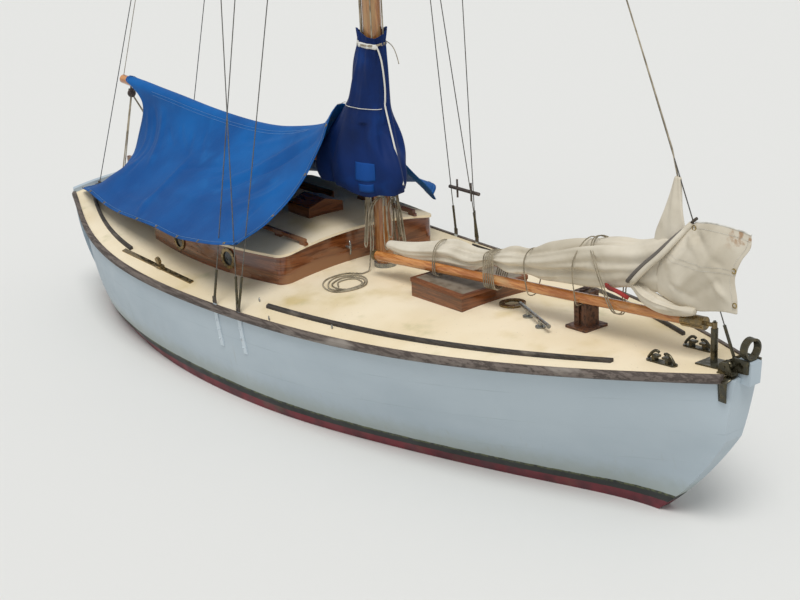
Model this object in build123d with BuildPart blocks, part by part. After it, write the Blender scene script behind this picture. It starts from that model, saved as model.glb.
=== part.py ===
# A small wooden sailing sloop, long keeled, carvel built, moored with her sails stowed.
# Millimetres. +X to the bow, +Y to port, +Z up. The origin is on the centreline,
# amidships on deck, at the height of the waterline.
import math
import os

from build123d import *

os.makedirs("parts", exist_ok=True)

# Fits
seat = 0.3          # gap left under a piece that stands on a curved surface
running = 0.05      # radial clearance of a pin in its hole

# Hull stations, aft to forward. Each row is one frame of the hull:
# x, half breadth at the deck, height of the sheer, half breadth at the turn,
# height of the turn, height of the keel rabbet, bulge of the topside
X, BEAM, SHEER, TURN_Y, TURN_Z, RABBET, BULGE = range(7)
stations = [
    (-3450, 600, 901, 500, 340, 60, 30),
    (-2550, 917, 794, 800, 130, -330, 30),
    (-1340, 1104, 727, 1004, 130, -540, 20),
    (0, 1041, 737, 949, 130, -570, 15),
    (1340, 851, 817, 617, 130, -500, 20),
    (2345, 548, 909, 225, 130, -300, 8),
    (3015, 255, 981, 110, 500, 120, 4),
    (3440, 38, 1030, 34, 700, 350, 1),
]
rabbet_half = 45            # half width of the keel where the planks land
camber_rate = 0.00013       # deck camber: rise is this times half breadth squared
deck_thick = 25
plank = 30                  # side planking left around the cabin

# Ends of the hull
transom_x = -3350           # aft face of the transom at deck height
transom_deck_z = 887
transom_rake = math.radians(8)
transom_thick = 40
stem_head = (3412, 1120)
stem_knee = (3270, 600)
forefoot_mid = (3085, 335)
forefoot_low = (2700, -60)
forefoot_end = (1750, -560)
stem_depth = 75
stem_half = 42
stem_top = 1095

# Keel and rudder
keel_half = 40
keel_bottom = -980
ballast_top = -760
ballast_half = 75
ballast_fore, ballast_aft = 1250, -1700
keel_toe_x = 1500
heel_x = -3000
rudder_gap = 12
rudder_thick = 36
rudder_chord = 430
rudder_head_top = 984
pintle_r = 9
tiller_length = 1050

# Coachroof
roof_front, roof_aft = -110, -1780
roof_front_half, roof_mid_half, roof_aft_half = 672, 765, 735
roof_edge_z = 1020
roof_crown = 74
roof_wall = 24
roof_thick = 18
roof_corner_r = 90
roof_lip = 12
portlight_x = (-690, -1340)
portlight_r = 60
portlight_z = 914

# Cockpit
well_fore, well_aft = -1830, -2900
well_half = 360
coaming_half = 600
coaming_thick = 22
sole_z = 330

# Mast and spars
mast_x = 166
mast_r = 62
mast_top_r = 38
mast_top = 8450
taper_z = 5500
upper_z = 8100
lower_z = 6250
spreader_z = 4980
spreader_tip = (-60, 900, 5000)
boom_z = 1500
boom_r = 42
boom_end = (-3470, 1722)
gooseneck_x = mast_x - mast_r - 60
jib_pivot = (3120, 0, 1222)
jib_boom_aft = (320, -190, 1033)
jib_boom_r = 37


def frame_plane(x):
    return Plane(origin=(x, 0, 0), x_dir=(0, 1, 0), z_dir=(1, 0, 0))


def camber(row):
    return camber_rate * row[BEAM] ** 2


def side(y, z, s):
    return (s * y, z)


def hull_frame(row, top_drop):
    """One closed frame of the hull, from the keel up both sides and over the deck beam."""
    keel_p = side(rabbet_half, row[RABBET], -1)
    keel_s = side(rabbet_half, row[RABBET], 1)
    Line(keel_p, keel_s)
    for s in (1, -1):
        edge = side(row[BEAM], row[SHEER] - top_drop, s)
        turn = side(row[TURN_Y], row[TURN_Z], s)
        dy, dz = row[BEAM] - row[TURN_Y], row[SHEER] - top_drop - row[TURN_Z]
        length = math.hypot(dy, dz)
        mid = side((row[BEAM] + row[TURN_Y]) / 2 + row[BULGE] * dz / length,
                   (row[SHEER] - top_drop + row[TURN_Z]) / 2 - row[BULGE] * dy / length, s)
        topside = ThreePointArc(edge, mid, turn)
        TangentArc(turn, side(rabbet_half, row[RABBET], s), tangent=topside % 1)
    ThreePointArc(side(row[BEAM], row[SHEER] - top_drop, 1),
                  (0, row[SHEER] - top_drop + camber(row)),
                  side(row[BEAM], row[SHEER] - top_drop, -1))


def deck_frame(row, top, bottom, inset=0):
    """A cambered strip across the boat, from bottom to top above the deck's own surface."""
    half = row[BEAM] - inset
    rise = camber(row)
    Line((half, row[SHEER] + bottom), (half, row[SHEER] + top))
    ThreePointArc((half, row[SHEER] + top), (0, row[SHEER] + top + rise), (-half, row[SHEER] + top))
    Line((-half, row[SHEER] + top), (-half, row[SHEER] + bottom))
    ThreePointArc((-half, row[SHEER] + bottom), (0, row[SHEER] + bottom + rise), (half, row[SHEER] + bottom))


XZ = Plane(origin=(0, 0, 0), x_dir=(1, 0, 0), z_dir=(0, -1, 0))


def stem_curve(inset):
    """The stem's forward profile in the centreline plane, moved aft by inset."""
    Polyline((stem_head[0] - inset, stem_head[1] + 200), (stem_knee[0] - inset, stem_knee[1]))
    arc = ThreePointArc((stem_knee[0] - inset, stem_knee[1]),
                        (forefoot_mid[0] - inset, forefoot_mid[1]),
                        (forefoot_low[0] - inset, forefoot_low[1]))
    return arc


def transom_line(offset):
    """x of a raked plane at height z, offset forward of the transom's aft face."""
    return lambda z: transom_x + offset / math.cos(transom_rake) + (transom_deck_z - z) * math.tan(transom_rake)


def side_outline(aft_offset, stem_inset):
    """The outline seen from the side that a piece of the hull is trimmed to."""
    aft = transom_line(aft_offset)
    top, low = 1500, -1500
    stem_curve(stem_inset)
    Polyline((forefoot_low[0] - stem_inset, forefoot_low[1]), (forefoot_end[0], low),
             (aft(low), low), (aft(top), top), (stem_head[0] - stem_inset, top),
             (stem_head[0] - stem_inset, stem_head[1] + 200))


def rod(start, end, radius, end_radius=None):
    """A round bar between two points, tapered where an end radius is given."""
    a, b = Vector(*start), Vector(*end)
    with BuildPart() as bar:
        with BuildSketch(Plane(origin=a, z_dir=(b - a).normalized())):
            Circle(radius)
        if end_radius is None:
            extrude(amount=(b - a).length)
        else:
            with BuildSketch(Plane(origin=b, z_dir=(b - a).normalized())):
                Circle(end_radius)
            loft()
    return bar.part


def block(x0, x1, y0, y1, z0, z1):
    with BuildPart() as made:
        with Locations(((x0 + x1) / 2, (y0 + y1) / 2, (z0 + z1) / 2)):
                Box(abs(x1 - x0), abs(y1 - y0), abs(z1 - z0))
    return made.part


def plate_xz(points, half):
    """A flat plate in the centreline plane, cut to an outline of (x, z) points."""
    with BuildPart() as made:
        with BuildSketch(XZ):
            with BuildLine():
                Polyline(*points, close=True)
            make_face()
        extrude(amount=half, both=True)
    return made.part


def keep(part, name):
    part.label = name
    export_step(part, f"parts/{name}.step")
    print(name, round(part.volume / 1e6, 3), len(part.solids()))


def strip(first, last, section, count=8):
    """A lofted strip. section(x) gives its (y, z) corners at x."""
    with BuildPart() as made:
        for i in range(count):
            x = first + (last - first) * i / (count - 1)
            with BuildSketch(frame_plane(x)):
                with BuildLine():
                    Polyline(*section(x), close=True)
                make_face()
        loft()
    return made.part


trim_half = 1600

with BuildPart() as full_form:
    for row in stations:
        with BuildSketch(frame_plane(row[X])):
            with BuildLine():
                hull_frame(row, deck_thick + seat)
            make_face()
    loft()


with BuildPart() as deck_form:
    for row in stations:
        with BuildSketch(frame_plane(row[X])):
            with BuildLine():
                deck_frame(row, 0, -deck_thick)
            make_face()
    loft()

# The deck edge as lofted, which rails, strakes and plates follow
sheer_edge = max((e for e in deck_form.edges() if e.length > 6000 and min((e @ 0).Y, (e @ 1).Y) > 0),
                 key=lambda e: (e @ 0.5).Z)
sheer_ends = sorted((0.0, 1.0), key=lambda u: (sheer_edge @ u).X)


def sheer_row(x):
    """Half breadth and height of the deck edge at x, found on the lofted edge."""
    low, high = sheer_ends
    for _ in range(24):
        mid = (low + high) / 2
        if (sheer_edge @ mid).X < x:
            low = mid
        else:
            high = mid
    point = sheer_edge @ ((low + high) / 2)
    return point.Y, point.Z


def deck_z(x, y=0):
    """Height of the deck's top at a place in plan, found on the lofted deck."""
    hits = deck_form.part.find_intersection_points(Axis((x, y, 0), (0, 0, 1)))
    return max(p.Z for p, _ in hits)


def deck_plane(x, y, angle=0):
    """A plane lying on the deck at a place in plan, turned by angle about its normal."""
    step = 20
    along = Vector(2 * step, 0, deck_z(x + step, y) - deck_z(x - step, y)).normalized()
    across = Vector(0, 2 * step, deck_z(x, y + step) - deck_z(x, y - step)).normalized()
    normal = along.cross(across)
    base = Plane(origin=(x, y, deck_z(x, y) + seat), x_dir=along, z_dir=normal)
    return base.rotated((0, 0, angle))


def roof_outline(inset=0, front=roof_front, aft=roof_aft):
    """Plan of the coachroof, with bowed sides and rounded front corners."""
    f, m, a = roof_front_half - inset, roof_mid_half - inset, roof_aft_half - inset
    mid = (front + aft) / 2
    r = roof_corner_r - inset
    fx = front - inset
    ax = aft + inset
    Line((fx, f - r), (fx, -f + r))
    ThreePointArc((fx, -f + r), (fx - r * 0.293, -f + r * 0.293), (fx - r, -f))
    ThreePointArc((fx - r, -f), (mid, -m), (ax, -a))
    Line((ax, -a), (ax, a))
    ThreePointArc((ax, a), (mid, m), (fx - r, f))
    ThreePointArc((fx - r, f), (fx - r * 0.293, f - r * 0.293), (fx, f - r))


companion_half = 280
companion_sill = 470
cabin_sole = 40
roof_foot = 640          # the coachroof's sides go down through the deck to this height
coaming_foot = 600
hatch_aft, hatch_fore, hatch_half = 812, 1319, 276
hatch_foot = 760
chain_x, chain_y = 1462, 20
chain_r = 50
mast_foot_z = 730


def sunk(inset, z, outline):
    """A prism from height z upwards, over a plan outline that is inset."""
    with BuildPart() as made:
        with BuildSketch(Plane.XY.offset(z)):
            with BuildLine():
                outline(inset)
            make_face()
        extrude(amount=2000)
    return made.part


def well_block(grow, z):
    return block(well_aft - grow, well_fore + grow, -coaming_half - grow, coaming_half + grow, z, 2000)


def hatch_block(grow, z):
    return block(hatch_aft - grow, hatch_fore + grow, -hatch_half - grow, hatch_half + grow, z, 2000)


with BuildPart() as hull:
    add(full_form.part)
    with BuildSketch(XZ):
        with BuildLine():
            side_outline(transom_thick, stem_depth)
        make_face()
    extrude(amount=trim_half, both=True, mode=Mode.INTERSECT)
    add(sunk(-seat, roof_foot, roof_outline), mode=Mode.SUBTRACT)
    add(sunk(roof_wall, cabin_sole, roof_outline), mode=Mode.SUBTRACT)
    add(well_block(seat, coaming_foot), mode=Mode.SUBTRACT)
    add(block(well_aft, well_fore, -well_half, well_half, sole_z, 2000), mode=Mode.SUBTRACT)
    add(block(well_fore - 1, roof_aft + roof_wall + 30, -companion_half, companion_half, companion_sill, 2000),
        mode=Mode.SUBTRACT)
    add(hatch_block(seat, hatch_foot), mode=Mode.SUBTRACT)
    add(block(hatch_aft + 20, hatch_fore - 20, -hatch_half + 20, hatch_half - 20, 100, 2000), mode=Mode.SUBTRACT)
    add(rod((mast_x, 0, mast_foot_z), (mast_x, 0, 1500), mast_r + seat), mode=Mode.SUBTRACT)
    add(rod((chain_x, chain_y, 500), (chain_x, chain_y, 1500), chain_r), mode=Mode.SUBTRACT)
keep(hull.part, "hull")

# Deck, a canvas covered plate with a crown, open for the cabin, the cockpit and the mast
with BuildPart() as deck:
    add(deck_form.part)
    with BuildSketch(XZ):
        with BuildLine():
            side_outline(transom_thick, stem_depth)
        make_face()
    extrude(amount=trim_half, both=True, mode=Mode.INTERSECT)
    add(sunk(-seat, 0, roof_outline), mode=Mode.SUBTRACT)
    add(well_block(seat, 0), mode=Mode.SUBTRACT)
    add(hatch_block(seat, 0), mode=Mode.SUBTRACT)
    add(rod((mast_x, 0, 500), (mast_x, 0, 1500), mast_r + seat), mode=Mode.SUBTRACT)
    add(rod((chain_x, chain_y, 500), (chain_x, chain_y, 1500), chain_r), mode=Mode.SUBTRACT)
keep(deck.part, "deck")

# Transom, a raked plate with a crowned top above the deck
transom_cap = 28
with BuildPart() as crown_form:
    for row in stations[:3]:
        with BuildSketch(frame_plane(row[X])):
            with BuildLine():
                hull_frame(row, -transom_cap)
            make_face()
    loft()
with BuildPart() as transom:
    add(crown_form.part)
    with BuildSketch(XZ):
        with BuildLine():
            fore, aft = transom_line(transom_thick), transom_line(0)
            Polyline((aft(0), 0), (aft(1200), 1200), (fore(1200), 1200), (fore(0), 0), close=True)
        make_face()
    extrude(amount=trim_half, both=True, mode=Mode.INTERSECT)
keep(transom.part, "transom")

# Stem, faired into the planks and rising above them at its head
with BuildPart() as stem:
    with BuildSketch(XZ):
        with BuildLine():
            stem_curve(0)
            Polyline((forefoot_low[0], forefoot_low[1]), (forefoot_low[0] - stem_depth, forefoot_low[1]),
                     (forefoot_mid[0] - stem_depth, forefoot_mid[1]),
                     (stem_knee[0] - stem_depth, stem_knee[1]),
                     (stem_head[0] - stem_depth, stem_head[1] + 200), (stem_head[0], stem_head[1] + 200))
        make_face()
    extrude(amount=trim_half, both=True)
    add(full_form.part, mode=Mode.INTERSECT)
    add(plate_xz([(stem_head[0] - stem_depth + 4, 960), (stem_head[0] - 8, 960), (stem_head[0], stem_top - 6),
                  (stem_head[0] - stem_depth - 20, stem_top), (stem_head[0] - stem_depth - 20, 1040)], stem_half))
    add(hull.part, mode=Mode.SUBTRACT)
    add(deck.part, mode=Mode.SUBTRACT)
keep(stem.part, "stem")

# Ballast, a cast iron keel bolted under the deadwood
with BuildPart() as ballast_keel:
    with BuildSketch(XZ):
        with BuildLine():
            Polyline((ballast_fore + 180, ballast_top - 20), (ballast_fore - 120, keel_bottom + 40),
                     (ballast_fore - 420, keel_bottom), (ballast_aft, keel_bottom),
                     (ballast_aft, ballast_top), (ballast_fore, ballast_top), close=True)
        make_face()
    extrude(amount=ballast_half, both=True, taper=4)
keep(ballast_keel.part, "ballast_keel")

# Deadwood and sternpost, from the forefoot down to the heel, notched for the ballast
keel_outline = [(forefoot_low[0] - 2, forefoot_low[1]), (2330, -420), (1900, -640), (keel_toe_x, -790),
                (ballast_fore, ballast_top), (ballast_aft, ballast_top), (ballast_aft, keel_bottom),
                (heel_x, keel_bottom)]
with BuildPart() as deadwood:
    add(plate_xz(keel_outline + [(transom_line(0)(80), 80), (transom_line(60)(80), 80), (-2600, -200),
                                 (-1300, -430), (0, -450), (1300, -400), (2345, -180), (2600, -40)], keel_half))
    add(plate_xz([(-4000, -2000), (transom_line(0)(-2000), -2000), (transom_line(0)(500), 500), (-4000, 500)],
                 200), mode=Mode.SUBTRACT)
    add(hull.part, mode=Mode.SUBTRACT)
    add(transom.part, mode=Mode.SUBTRACT)
    add(stem.part, mode=Mode.SUBTRACT)
    add(ballast_keel.part, mode=Mode.SUBTRACT)
keep(deadwood.part, "deadwood")

# Rudder, hung on the transom and the sternpost
axis_off = -(rudder_gap + rudder_thick / 2)
axis_x = transom_line(axis_off)
eye_heights = (-760, 60, 620)
eye_half = 18
eye_r = 17
eye_room = 6
bolt_r = 6
strap_t = 5
head_bolt = (axis_x(940) - 70, rudder_thick / 2 + strap_t + 6, 940)
tiller_h, tiller_w = 26, 17.5
tiller_z = rudder_head_top + seat + tiller_h
tiller_bolt = (axis_x(tiller_z) - 70, head_bolt[1], tiller_z)
with BuildPart() as rudder:
    add(plate_xz([(axis_x(-940), -940), (axis_x(-940) - rudder_chord + 60, -940),
                  (axis_x(-800) - rudder_chord, -800), (axis_x(-200) - rudder_chord + 40, -200),
                  (axis_x(150) - 260, 150), (axis_x(700) - 165, 700), (axis_x(rudder_head_top) - 150, rudder_head_top),
                  (axis_x(rudder_head_top), rudder_head_top)], rudder_thick / 2))
    add(rod((axis_x(-940), 0, -940), (axis_x(rudder_head_top), 0, rudder_head_top), rudder_thick / 2))
    for z in eye_heights:
        with Locations((axis_x(z) + 20, 0, z)):
            Box(80, 80, 2 * (eye_half + eye_room), mode=Mode.SUBTRACT)
    for z in eye_heights:
        add(rod((axis_x(z - 70), 0, z - 70), (axis_x(z + 70), 0, z + 70), pintle_r), mode=Mode.SUBTRACT)
    add(rod(head_bolt, (head_bolt[0], -head_bolt[1], head_bolt[2]), bolt_r), mode=Mode.SUBTRACT)
    with Locations((axis_x(rudder_head_top), 0, rudder_head_top + 50)):
        Box(400, 80, 100, mode=Mode.SUBTRACT)
keep(rudder.part, "rudder")

# Pintles on the blade, and the straps that hold the tiller on the rudder's head
with BuildPart() as rudder_irons:
    for z in eye_heights:
        add(rod((axis_x(z - 70), 0, z - 70), (axis_x(z + 70), 0, z + 70), pintle_r))
    for s in (1, -1):
        y = s * (rudder_thick / 2 + strap_t / 2 + 0.1)
        with Locations((head_bolt[0], y, (head_bolt[2] + tiller_z) / 2)):
            Box(60, strap_t, tiller_z - head_bolt[2] + 50)
    for x, y, z in (head_bolt, tiller_bolt):
        add(rod((x, y, z), (x, -y, z), bolt_r))
keep(rudder_irons.part, "rudder_irons")

with BuildPart() as gudgeons:
    for z in eye_heights:
        a, b = (axis_x(z - eye_half), 0, z - eye_half), (axis_x(z + eye_half), 0, z + eye_half)
        add(rod(a, b, eye_r))
        add(plate_xz([(axis_x(z - eye_half), z - eye_half), (transom_line(0)(z - eye_half), z - eye_half),
                      (transom_line(0)(z + eye_half), z + eye_half), (axis_x(z + eye_half), z + eye_half)], 13))
        add(rod((axis_x(z - 90), 0, z - 90), (axis_x(z + 90), 0, z + 90), pintle_r + running), mode=Mode.SUBTRACT)
keep(gudgeons.part, "gudgeons")

tiller_root = axis_x(tiller_z) + 20
tiller_tip = (axis_x(tiller_z) + 860, 1125)
with BuildPart() as tiller:
    with BuildSketch(frame_plane(tiller_root)):
        with Locations((0, tiller_z)):
            RectangleRounded(2 * tiller_w, 2 * tiller_h, 9)
    extrude(amount=-160)
    for u, z, w, h in ((tiller_root, tiller_z, tiller_w, tiller_h), (tiller_root + 230, tiller_z + 22, 17, 24),
                       (tiller_tip[0] - 260, tiller_tip[1] - 38, 16, 20), (tiller_tip[0], tiller_tip[1], 15, 15)):
        with BuildSketch(frame_plane(u)):
            with Locations((0, z)):
                RectangleRounded(2 * w, 2 * h, 9)
    loft()
    x, y, z = tiller_bolt
    add(rod((x, y, z), (x, -y, z), bolt_r), mode=Mode.SUBTRACT)
keep(tiller.part, "tiller")

# Chainplates, straps on the topsides that pass up through the strake, and plates on the quarters
plate_t, plate_w, plate_low, plate_up = 8, 36, 300, 66
cp_x = (-364, -94)
quarter = (-3270, 430)


def hull_side(x, z):
    """Half breadth of the topside at a place, found on the lofted hull."""
    hits = full_form.part.find_intersection_points(Axis((x, 0, z), (0, 1, 0)))
    return max(p.Y for p, _ in hits)


def plate_line(x, top):
    """The topside's line under a strap, from the strap's foot to its head, as (y, z) points."""
    half, edge = sheer_row(x)
    heights = [top - plate_up - plate_low, top - plate_up - plate_low * 0.6, top - plate_up - plate_low * 0.3]
    line = [(hull_side(x, z) + 2 * seat, z) for z in heights]
    return line + [(half + 3 * seat, edge - deck_thick - 2), (half + 3 * seat, top)]


with BuildPart() as chainplates:
    for x in cp_x:
        top = sheer_row(x)[1] + plate_up
        lines = [(x + d * plate_w / 2, plate_line(x + d * plate_w / 2, top)) for d in (-1, 1)]
        for s in (1, -1):
            for at, line in lines:
                with BuildSketch(frame_plane(at)):
                    with BuildLine():
                        Polyline(*[(s * y, z) for y, z in line],
                                 *[(s * (y + plate_t), z) for y, z in reversed(line)], close=True)
                    make_face()
            loft(ruled=True)
    for s in (1, -1):
        plane = deck_plane(quarter[0], s * quarter[1])
        with BuildSketch(plane):
            RectangleRounded(80, 60, 8)
        extrude(amount=8)
        with BuildSketch(plane):
            Rectangle(44, 10)
        extrude(amount=34)
keep(chainplates.part, "chainplates")

# Rubbing strakes, half round, along the deck edge
strake_low, strake_up, strake_out = 44, 10, 36
strake_aft, strake_fore = -3320, 3290


def strake_section(s):
    def at(x):
        half, edge = sheer_row(x)
        foot = hull_side(x, edge - strake_low)
        shoulder = hull_side(x, edge - deck_thick - 2)
        body = [(foot + 2 * seat, -strake_low), (foot + strake_out * 0.6, -strake_low),
                (half + strake_out, -strake_low + 14), (half + strake_out, -6), (half + strake_out * 0.6, strake_up),
                (half + 2 * seat, strake_up), (max(half, shoulder) + 2 * seat, -deck_thick)]
        return [(s * y, edge + z) for y, z in body]
    return at


with BuildPart() as rubbing_strakes:
    for s in (1, -1):
        add(strip(strake_aft, strake_fore, strake_section(s), 14))
    for x in cp_x:
        half, edge = sheer_row(x)
        for s in (1, -1):
            add(block(x - plate_w / 2 - seat, x + plate_w / 2 + seat, s * (half - 60),
                      s * (half + plate_t + 3), edge - 200, edge + 200), mode=Mode.SUBTRACT)
    add(transom.part, mode=Mode.SUBTRACT)
    add(hull.part, mode=Mode.SUBTRACT)
keep(rubbing_strakes.part, "rubbing_strakes")

# Toe rails, a short pair on the quarters and a long pair on the foredeck
rail_in, rail_w, rail_h = 120, 26, 24
sunk_in = 4              # how far a form goes into the deck before the deck trims its foot


def rail_section(s):
    def at(x):
        y = sheer_row(x)[0] - rail_in
        z0, z1 = deck_z(x, y) - sunk_in, deck_z(x, y - rail_w) - sunk_in
        return [(s * y, z0), (s * y, z0 + rail_h - 2), (s * (y - 5), z0 + rail_h + 4),
                (s * (y - rail_w + 5), z1 + rail_h + 4), (s * (y - rail_w), z1 + rail_h - 2), (s * (y - rail_w), z1)]
    return at


with BuildPart() as toe_rails:
    for s in (1, -1):
        add(strip(40, 2640, rail_section(s), 7))
        add(strip(-3230, -1790, rail_section(s), 6))
    add(deck.part, mode=Mode.SUBTRACT)
keep(toe_rails.part, "toe_rails")

# Coachroof sides, one wall round the cabin, let down to the deck
roof_rise_r = (roof_front_half**2 + roof_crown**2) / (2 * roof_crown)
roof_centre_z = roof_edge_z + roof_crown - roof_rise_r


def roof_cylinder(drop=0):
    """A long round form whose top is the underside of the roof."""
    with BuildPart() as form:
        with BuildSketch(frame_plane(-4000)):
            with Locations((0, roof_centre_z)):
                Circle(roof_rise_r - drop)
        extrude(amount=8000)
    return form.part


with BuildPart() as coachroof_sides:
    with BuildSketch(Plane.XY.offset(roof_foot + seat)):
        with BuildLine():
            roof_outline()
        make_face()
        with BuildLine():
            roof_outline(roof_wall)
        make_face(mode=Mode.SUBTRACT)
    extrude(amount=700)
    add(roof_cylinder(), mode=Mode.INTERSECT)
    for x in portlight_x:
        with BuildSketch(Plane(origin=(x, -trim_half, portlight_z), x_dir=(1, 0, 0), z_dir=(0, 1, 0))):
            Circle(portlight_r)
        extrude(amount=2 * trim_half, mode=Mode.SUBTRACT)
    add(block(roof_aft - 10, roof_aft + roof_wall + 10, -companion_half, companion_half, 500, 1300),
        mode=Mode.SUBTRACT)
keep(coachroof_sides.part, "coachroof_sides")

with BuildPart() as coachroof_top:
    with BuildSketch(Plane.XY.offset(900)):
        with BuildLine():
            roof_outline(-roof_lip, roof_front, roof_aft)
        make_face()
    extrude(amount=400)
    add(roof_cylinder(-roof_thick), mode=Mode.INTERSECT)
    add(roof_cylinder(-seat), mode=Mode.SUBTRACT)
    add(block(-1790 - 20, -1330, -companion_half + 30, companion_half - 30, 900, 1300), mode=Mode.SUBTRACT)
keep(coachroof_top.part, "coachroof_top")


def roof_top_z(y):
    return roof_centre_z + math.sqrt((roof_rise_r + roof_thick) ** 2 - y * y)


# Grab rails along the coachroof, on three pads each
rail_y = 475
with BuildPart() as grab_rails:
    for s in (1, -1):
        z = roof_top_z(rail_y)
        add(block(-760, -100, s * rail_y - 13, s * rail_y + 13, z + 18, z + 44))
        for x in (-740, -430, -120):
            add(block(x - 35, x + 35, s * rail_y - 13, s * rail_y + 13, z - 12, z + 20))
    add(roof_cylinder(-roof_thick - seat), mode=Mode.SUBTRACT)
keep(grab_rails.part, "grab_rails")


def side_y(x, inset=0):
    """Half breadth of the coachroof's bowed side at x."""
    r = roof_corner_r - inset
    p0 = (roof_front - inset - r, roof_front_half - inset)
    p1 = ((roof_front + roof_aft) / 2, roof_mid_half - inset)
    p2 = (roof_aft + inset, roof_aft_half - inset)
    out = 0
    for a, b, c in ((p0, p1, p2), (p1, p0, p2), (p2, p0, p1)):
        out += a[1] * (x - b[0]) * (x - c[0]) / ((a[0] - b[0]) * (a[0] - c[0]))
    return out


def side_plane(x, s, out):
    """A plane on the coachroof's side at a portlight, facing outboard and standing out by a gap."""
    slope = (side_y(x + 10) - side_y(x - 10)) / 20
    along = Vector(1, s * slope, 0).normalized()
    normal = Vector(-s * slope * s, s, 0).normalized()
    return Plane(origin=(x, s * side_y(x), portlight_z) + normal * out, x_dir=along, z_dir=normal)


rim_out = 9
rim_r = portlight_r + 18
glass_thick = 6
with BuildPart() as portlight_rims:
    for x in portlight_x:
        for s in (1, -1):
            with BuildSketch(side_plane(x, s, 2 * seat)):
                Circle(rim_r)
                Circle(portlight_r - 8, mode=Mode.SUBTRACT)
            extrude(amount=rim_out)
    fillet(portlight_rims.edges().filter_by(GeomType.CIRCLE).filter_by(lambda e: e.radius > portlight_r)
           .group_by(lambda e: round(abs(e.center().Y)))[-1], 3)
keep(portlight_rims.part, "portlight_rims")

with BuildPart() as portlight_glass:
    for x in portlight_x:
        for s in (1, -1):
            with BuildSketch(side_plane(x, s, seat - glass_thick)):
                Circle(portlight_r - 2)
            extrude(amount=glass_thick)
keep(portlight_glass.part, "portlight_glass")

# Skylight, a small pitched box on the roof forward of the slide
sky_fore, sky_aft, sky_half = -520, -790, 150
sky_h, sky_pitch = 70, 45
with BuildPart() as skylight:
    z = roof_top_z(0)
    with BuildSketch(frame_plane(sky_aft)):
        with BuildLine():
            Polyline((-sky_half, z - 40), (-sky_half, z + sky_h), (0, z + sky_h + sky_pitch), (sky_half, z + sky_h),
                     (sky_half, z - 40), close=True)
        make_face()
    extrude(amount=sky_fore - sky_aft)
    add(block(sky_aft + 22, sky_fore - 22, -sky_half + 22, sky_half - 22, z - 60, z + sky_h - 10),
        mode=Mode.SUBTRACT)
    add(roof_cylinder(-roof_thick - seat), mode=Mode.SUBTRACT)
keep(skylight.part, "skylight")

# Companion slide on its runners, and the drop boards under it
slide_aft, slide_fore, slide_half = roof_aft - 18, roof_aft + 490, 300
slide_run = 420
runner_z = roof_top_z(slide_half)
slide_z = runner_z + 30 + seat
with BuildPart() as slide_runners:
    for s in (1, -1):
        y = s * (slide_half + 4)
        add(block(slide_aft + 10, slide_fore + slide_run, y - 14, y + 14, runner_z - 20, runner_z + 30))
        add(block(slide_aft + 10, slide_fore + slide_run, y + s * 4, y + s * 14, runner_z + 30, runner_z + 52))
    add(roof_cylinder(-roof_thick - seat), mode=Mode.SUBTRACT)
keep(slide_runners.part, "slide_runners")

with BuildPart() as companion_slide:
    with BuildSketch(frame_plane(slide_aft)):
        with BuildLine():
            Polyline((-slide_half, slide_z), (slide_half, slide_z), (slide_half, runner_z + 50))
            ThreePointArc((slide_half, runner_z + 50), (0, runner_z + 88), (-slide_half, runner_z + 50))
            Line((-slide_half, runner_z + 50), (-slide_half, slide_z))
        make_face()
    extrude(amount=slide_fore - slide_aft)
keep(companion_slide.part, "companion_slide")

with BuildPart() as drop_boards:
    add(block(roof_aft + 2, roof_aft + 22, -companion_half + 3, companion_half - 3, companion_sill + 0.3,
              roof_edge_z + 40))
    add(roof_cylinder(2), mode=Mode.INTERSECT)
keep(drop_boards.part, "drop_boards")

# Cockpit coamings, sole and seats
with BuildPart() as coamings:
    add(block(well_aft, well_fore, -coaming_half, coaming_half, coaming_foot + seat, 1300))
    add(block(well_aft + coaming_thick, well_fore - coaming_thick, -coaming_half + coaming_thick,
              coaming_half - coaming_thick, 0, 1400), mode=Mode.SUBTRACT)
    with BuildSketch(XZ):
        with BuildLine():
            Polyline((well_aft - 10, 500), (well_aft - 10, deck_z(well_aft, coaming_half) + 90),
                     (well_fore - 300, 980), (well_fore + 10, 980), (well_fore + 10, 500), close=True)
        make_face()
    extrude(amount=trim_half, both=True, mode=Mode.INTERSECT)
    add(block(well_fore - 60, well_fore + 60, -companion_half, companion_half, 500, 1300), mode=Mode.SUBTRACT)
keep(coamings.part, "coamings")

with BuildPart() as cockpit_boards:
    add(block(well_aft + 3, well_fore - 3, -well_half + 3, well_half - 3, sole_z + seat, sole_z + 20))
    for s in (1, -1):
        for k in range(3):
            y = well_half + 8 + k * 68
            add(block(well_aft + coaming_thick + 3, well_fore - coaming_thick - 3, s * y, s * (y + 62),
                      coaming_foot + seat, coaming_foot + 20))
keep(cockpit_boards.part, "cockpit_boards")

# Forehatch, a lift-off lid over a low coaming
hatch_wall, hatch_side_h, lid_thick = 20, 96, 24
hatch_base = deck_z(1000, hatch_half)
with BuildPart() as forehatch_coaming:
    add(block(hatch_aft, hatch_fore, -hatch_half, hatch_half, hatch_foot + seat, hatch_base + hatch_side_h))
    add(block(hatch_aft + hatch_wall, hatch_fore - hatch_wall, -hatch_half + hatch_wall, hatch_half - hatch_wall,
              hatch_foot - 100, hatch_base + 200), mode=Mode.SUBTRACT)
keep(forehatch_coaming.part, "forehatch_coaming")

lid_lap = 8
with BuildPart() as forehatch_lid:
    z = hatch_base + hatch_side_h + seat
    add(block(hatch_aft - lid_lap, hatch_fore + lid_lap, -hatch_half - lid_lap, hatch_half + lid_lap, z,
              z + lid_thick))
    fillet(forehatch_lid.edges().filter_by(Axis.Z), 12)
keep(forehatch_lid.part, "forehatch_lid")

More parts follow.
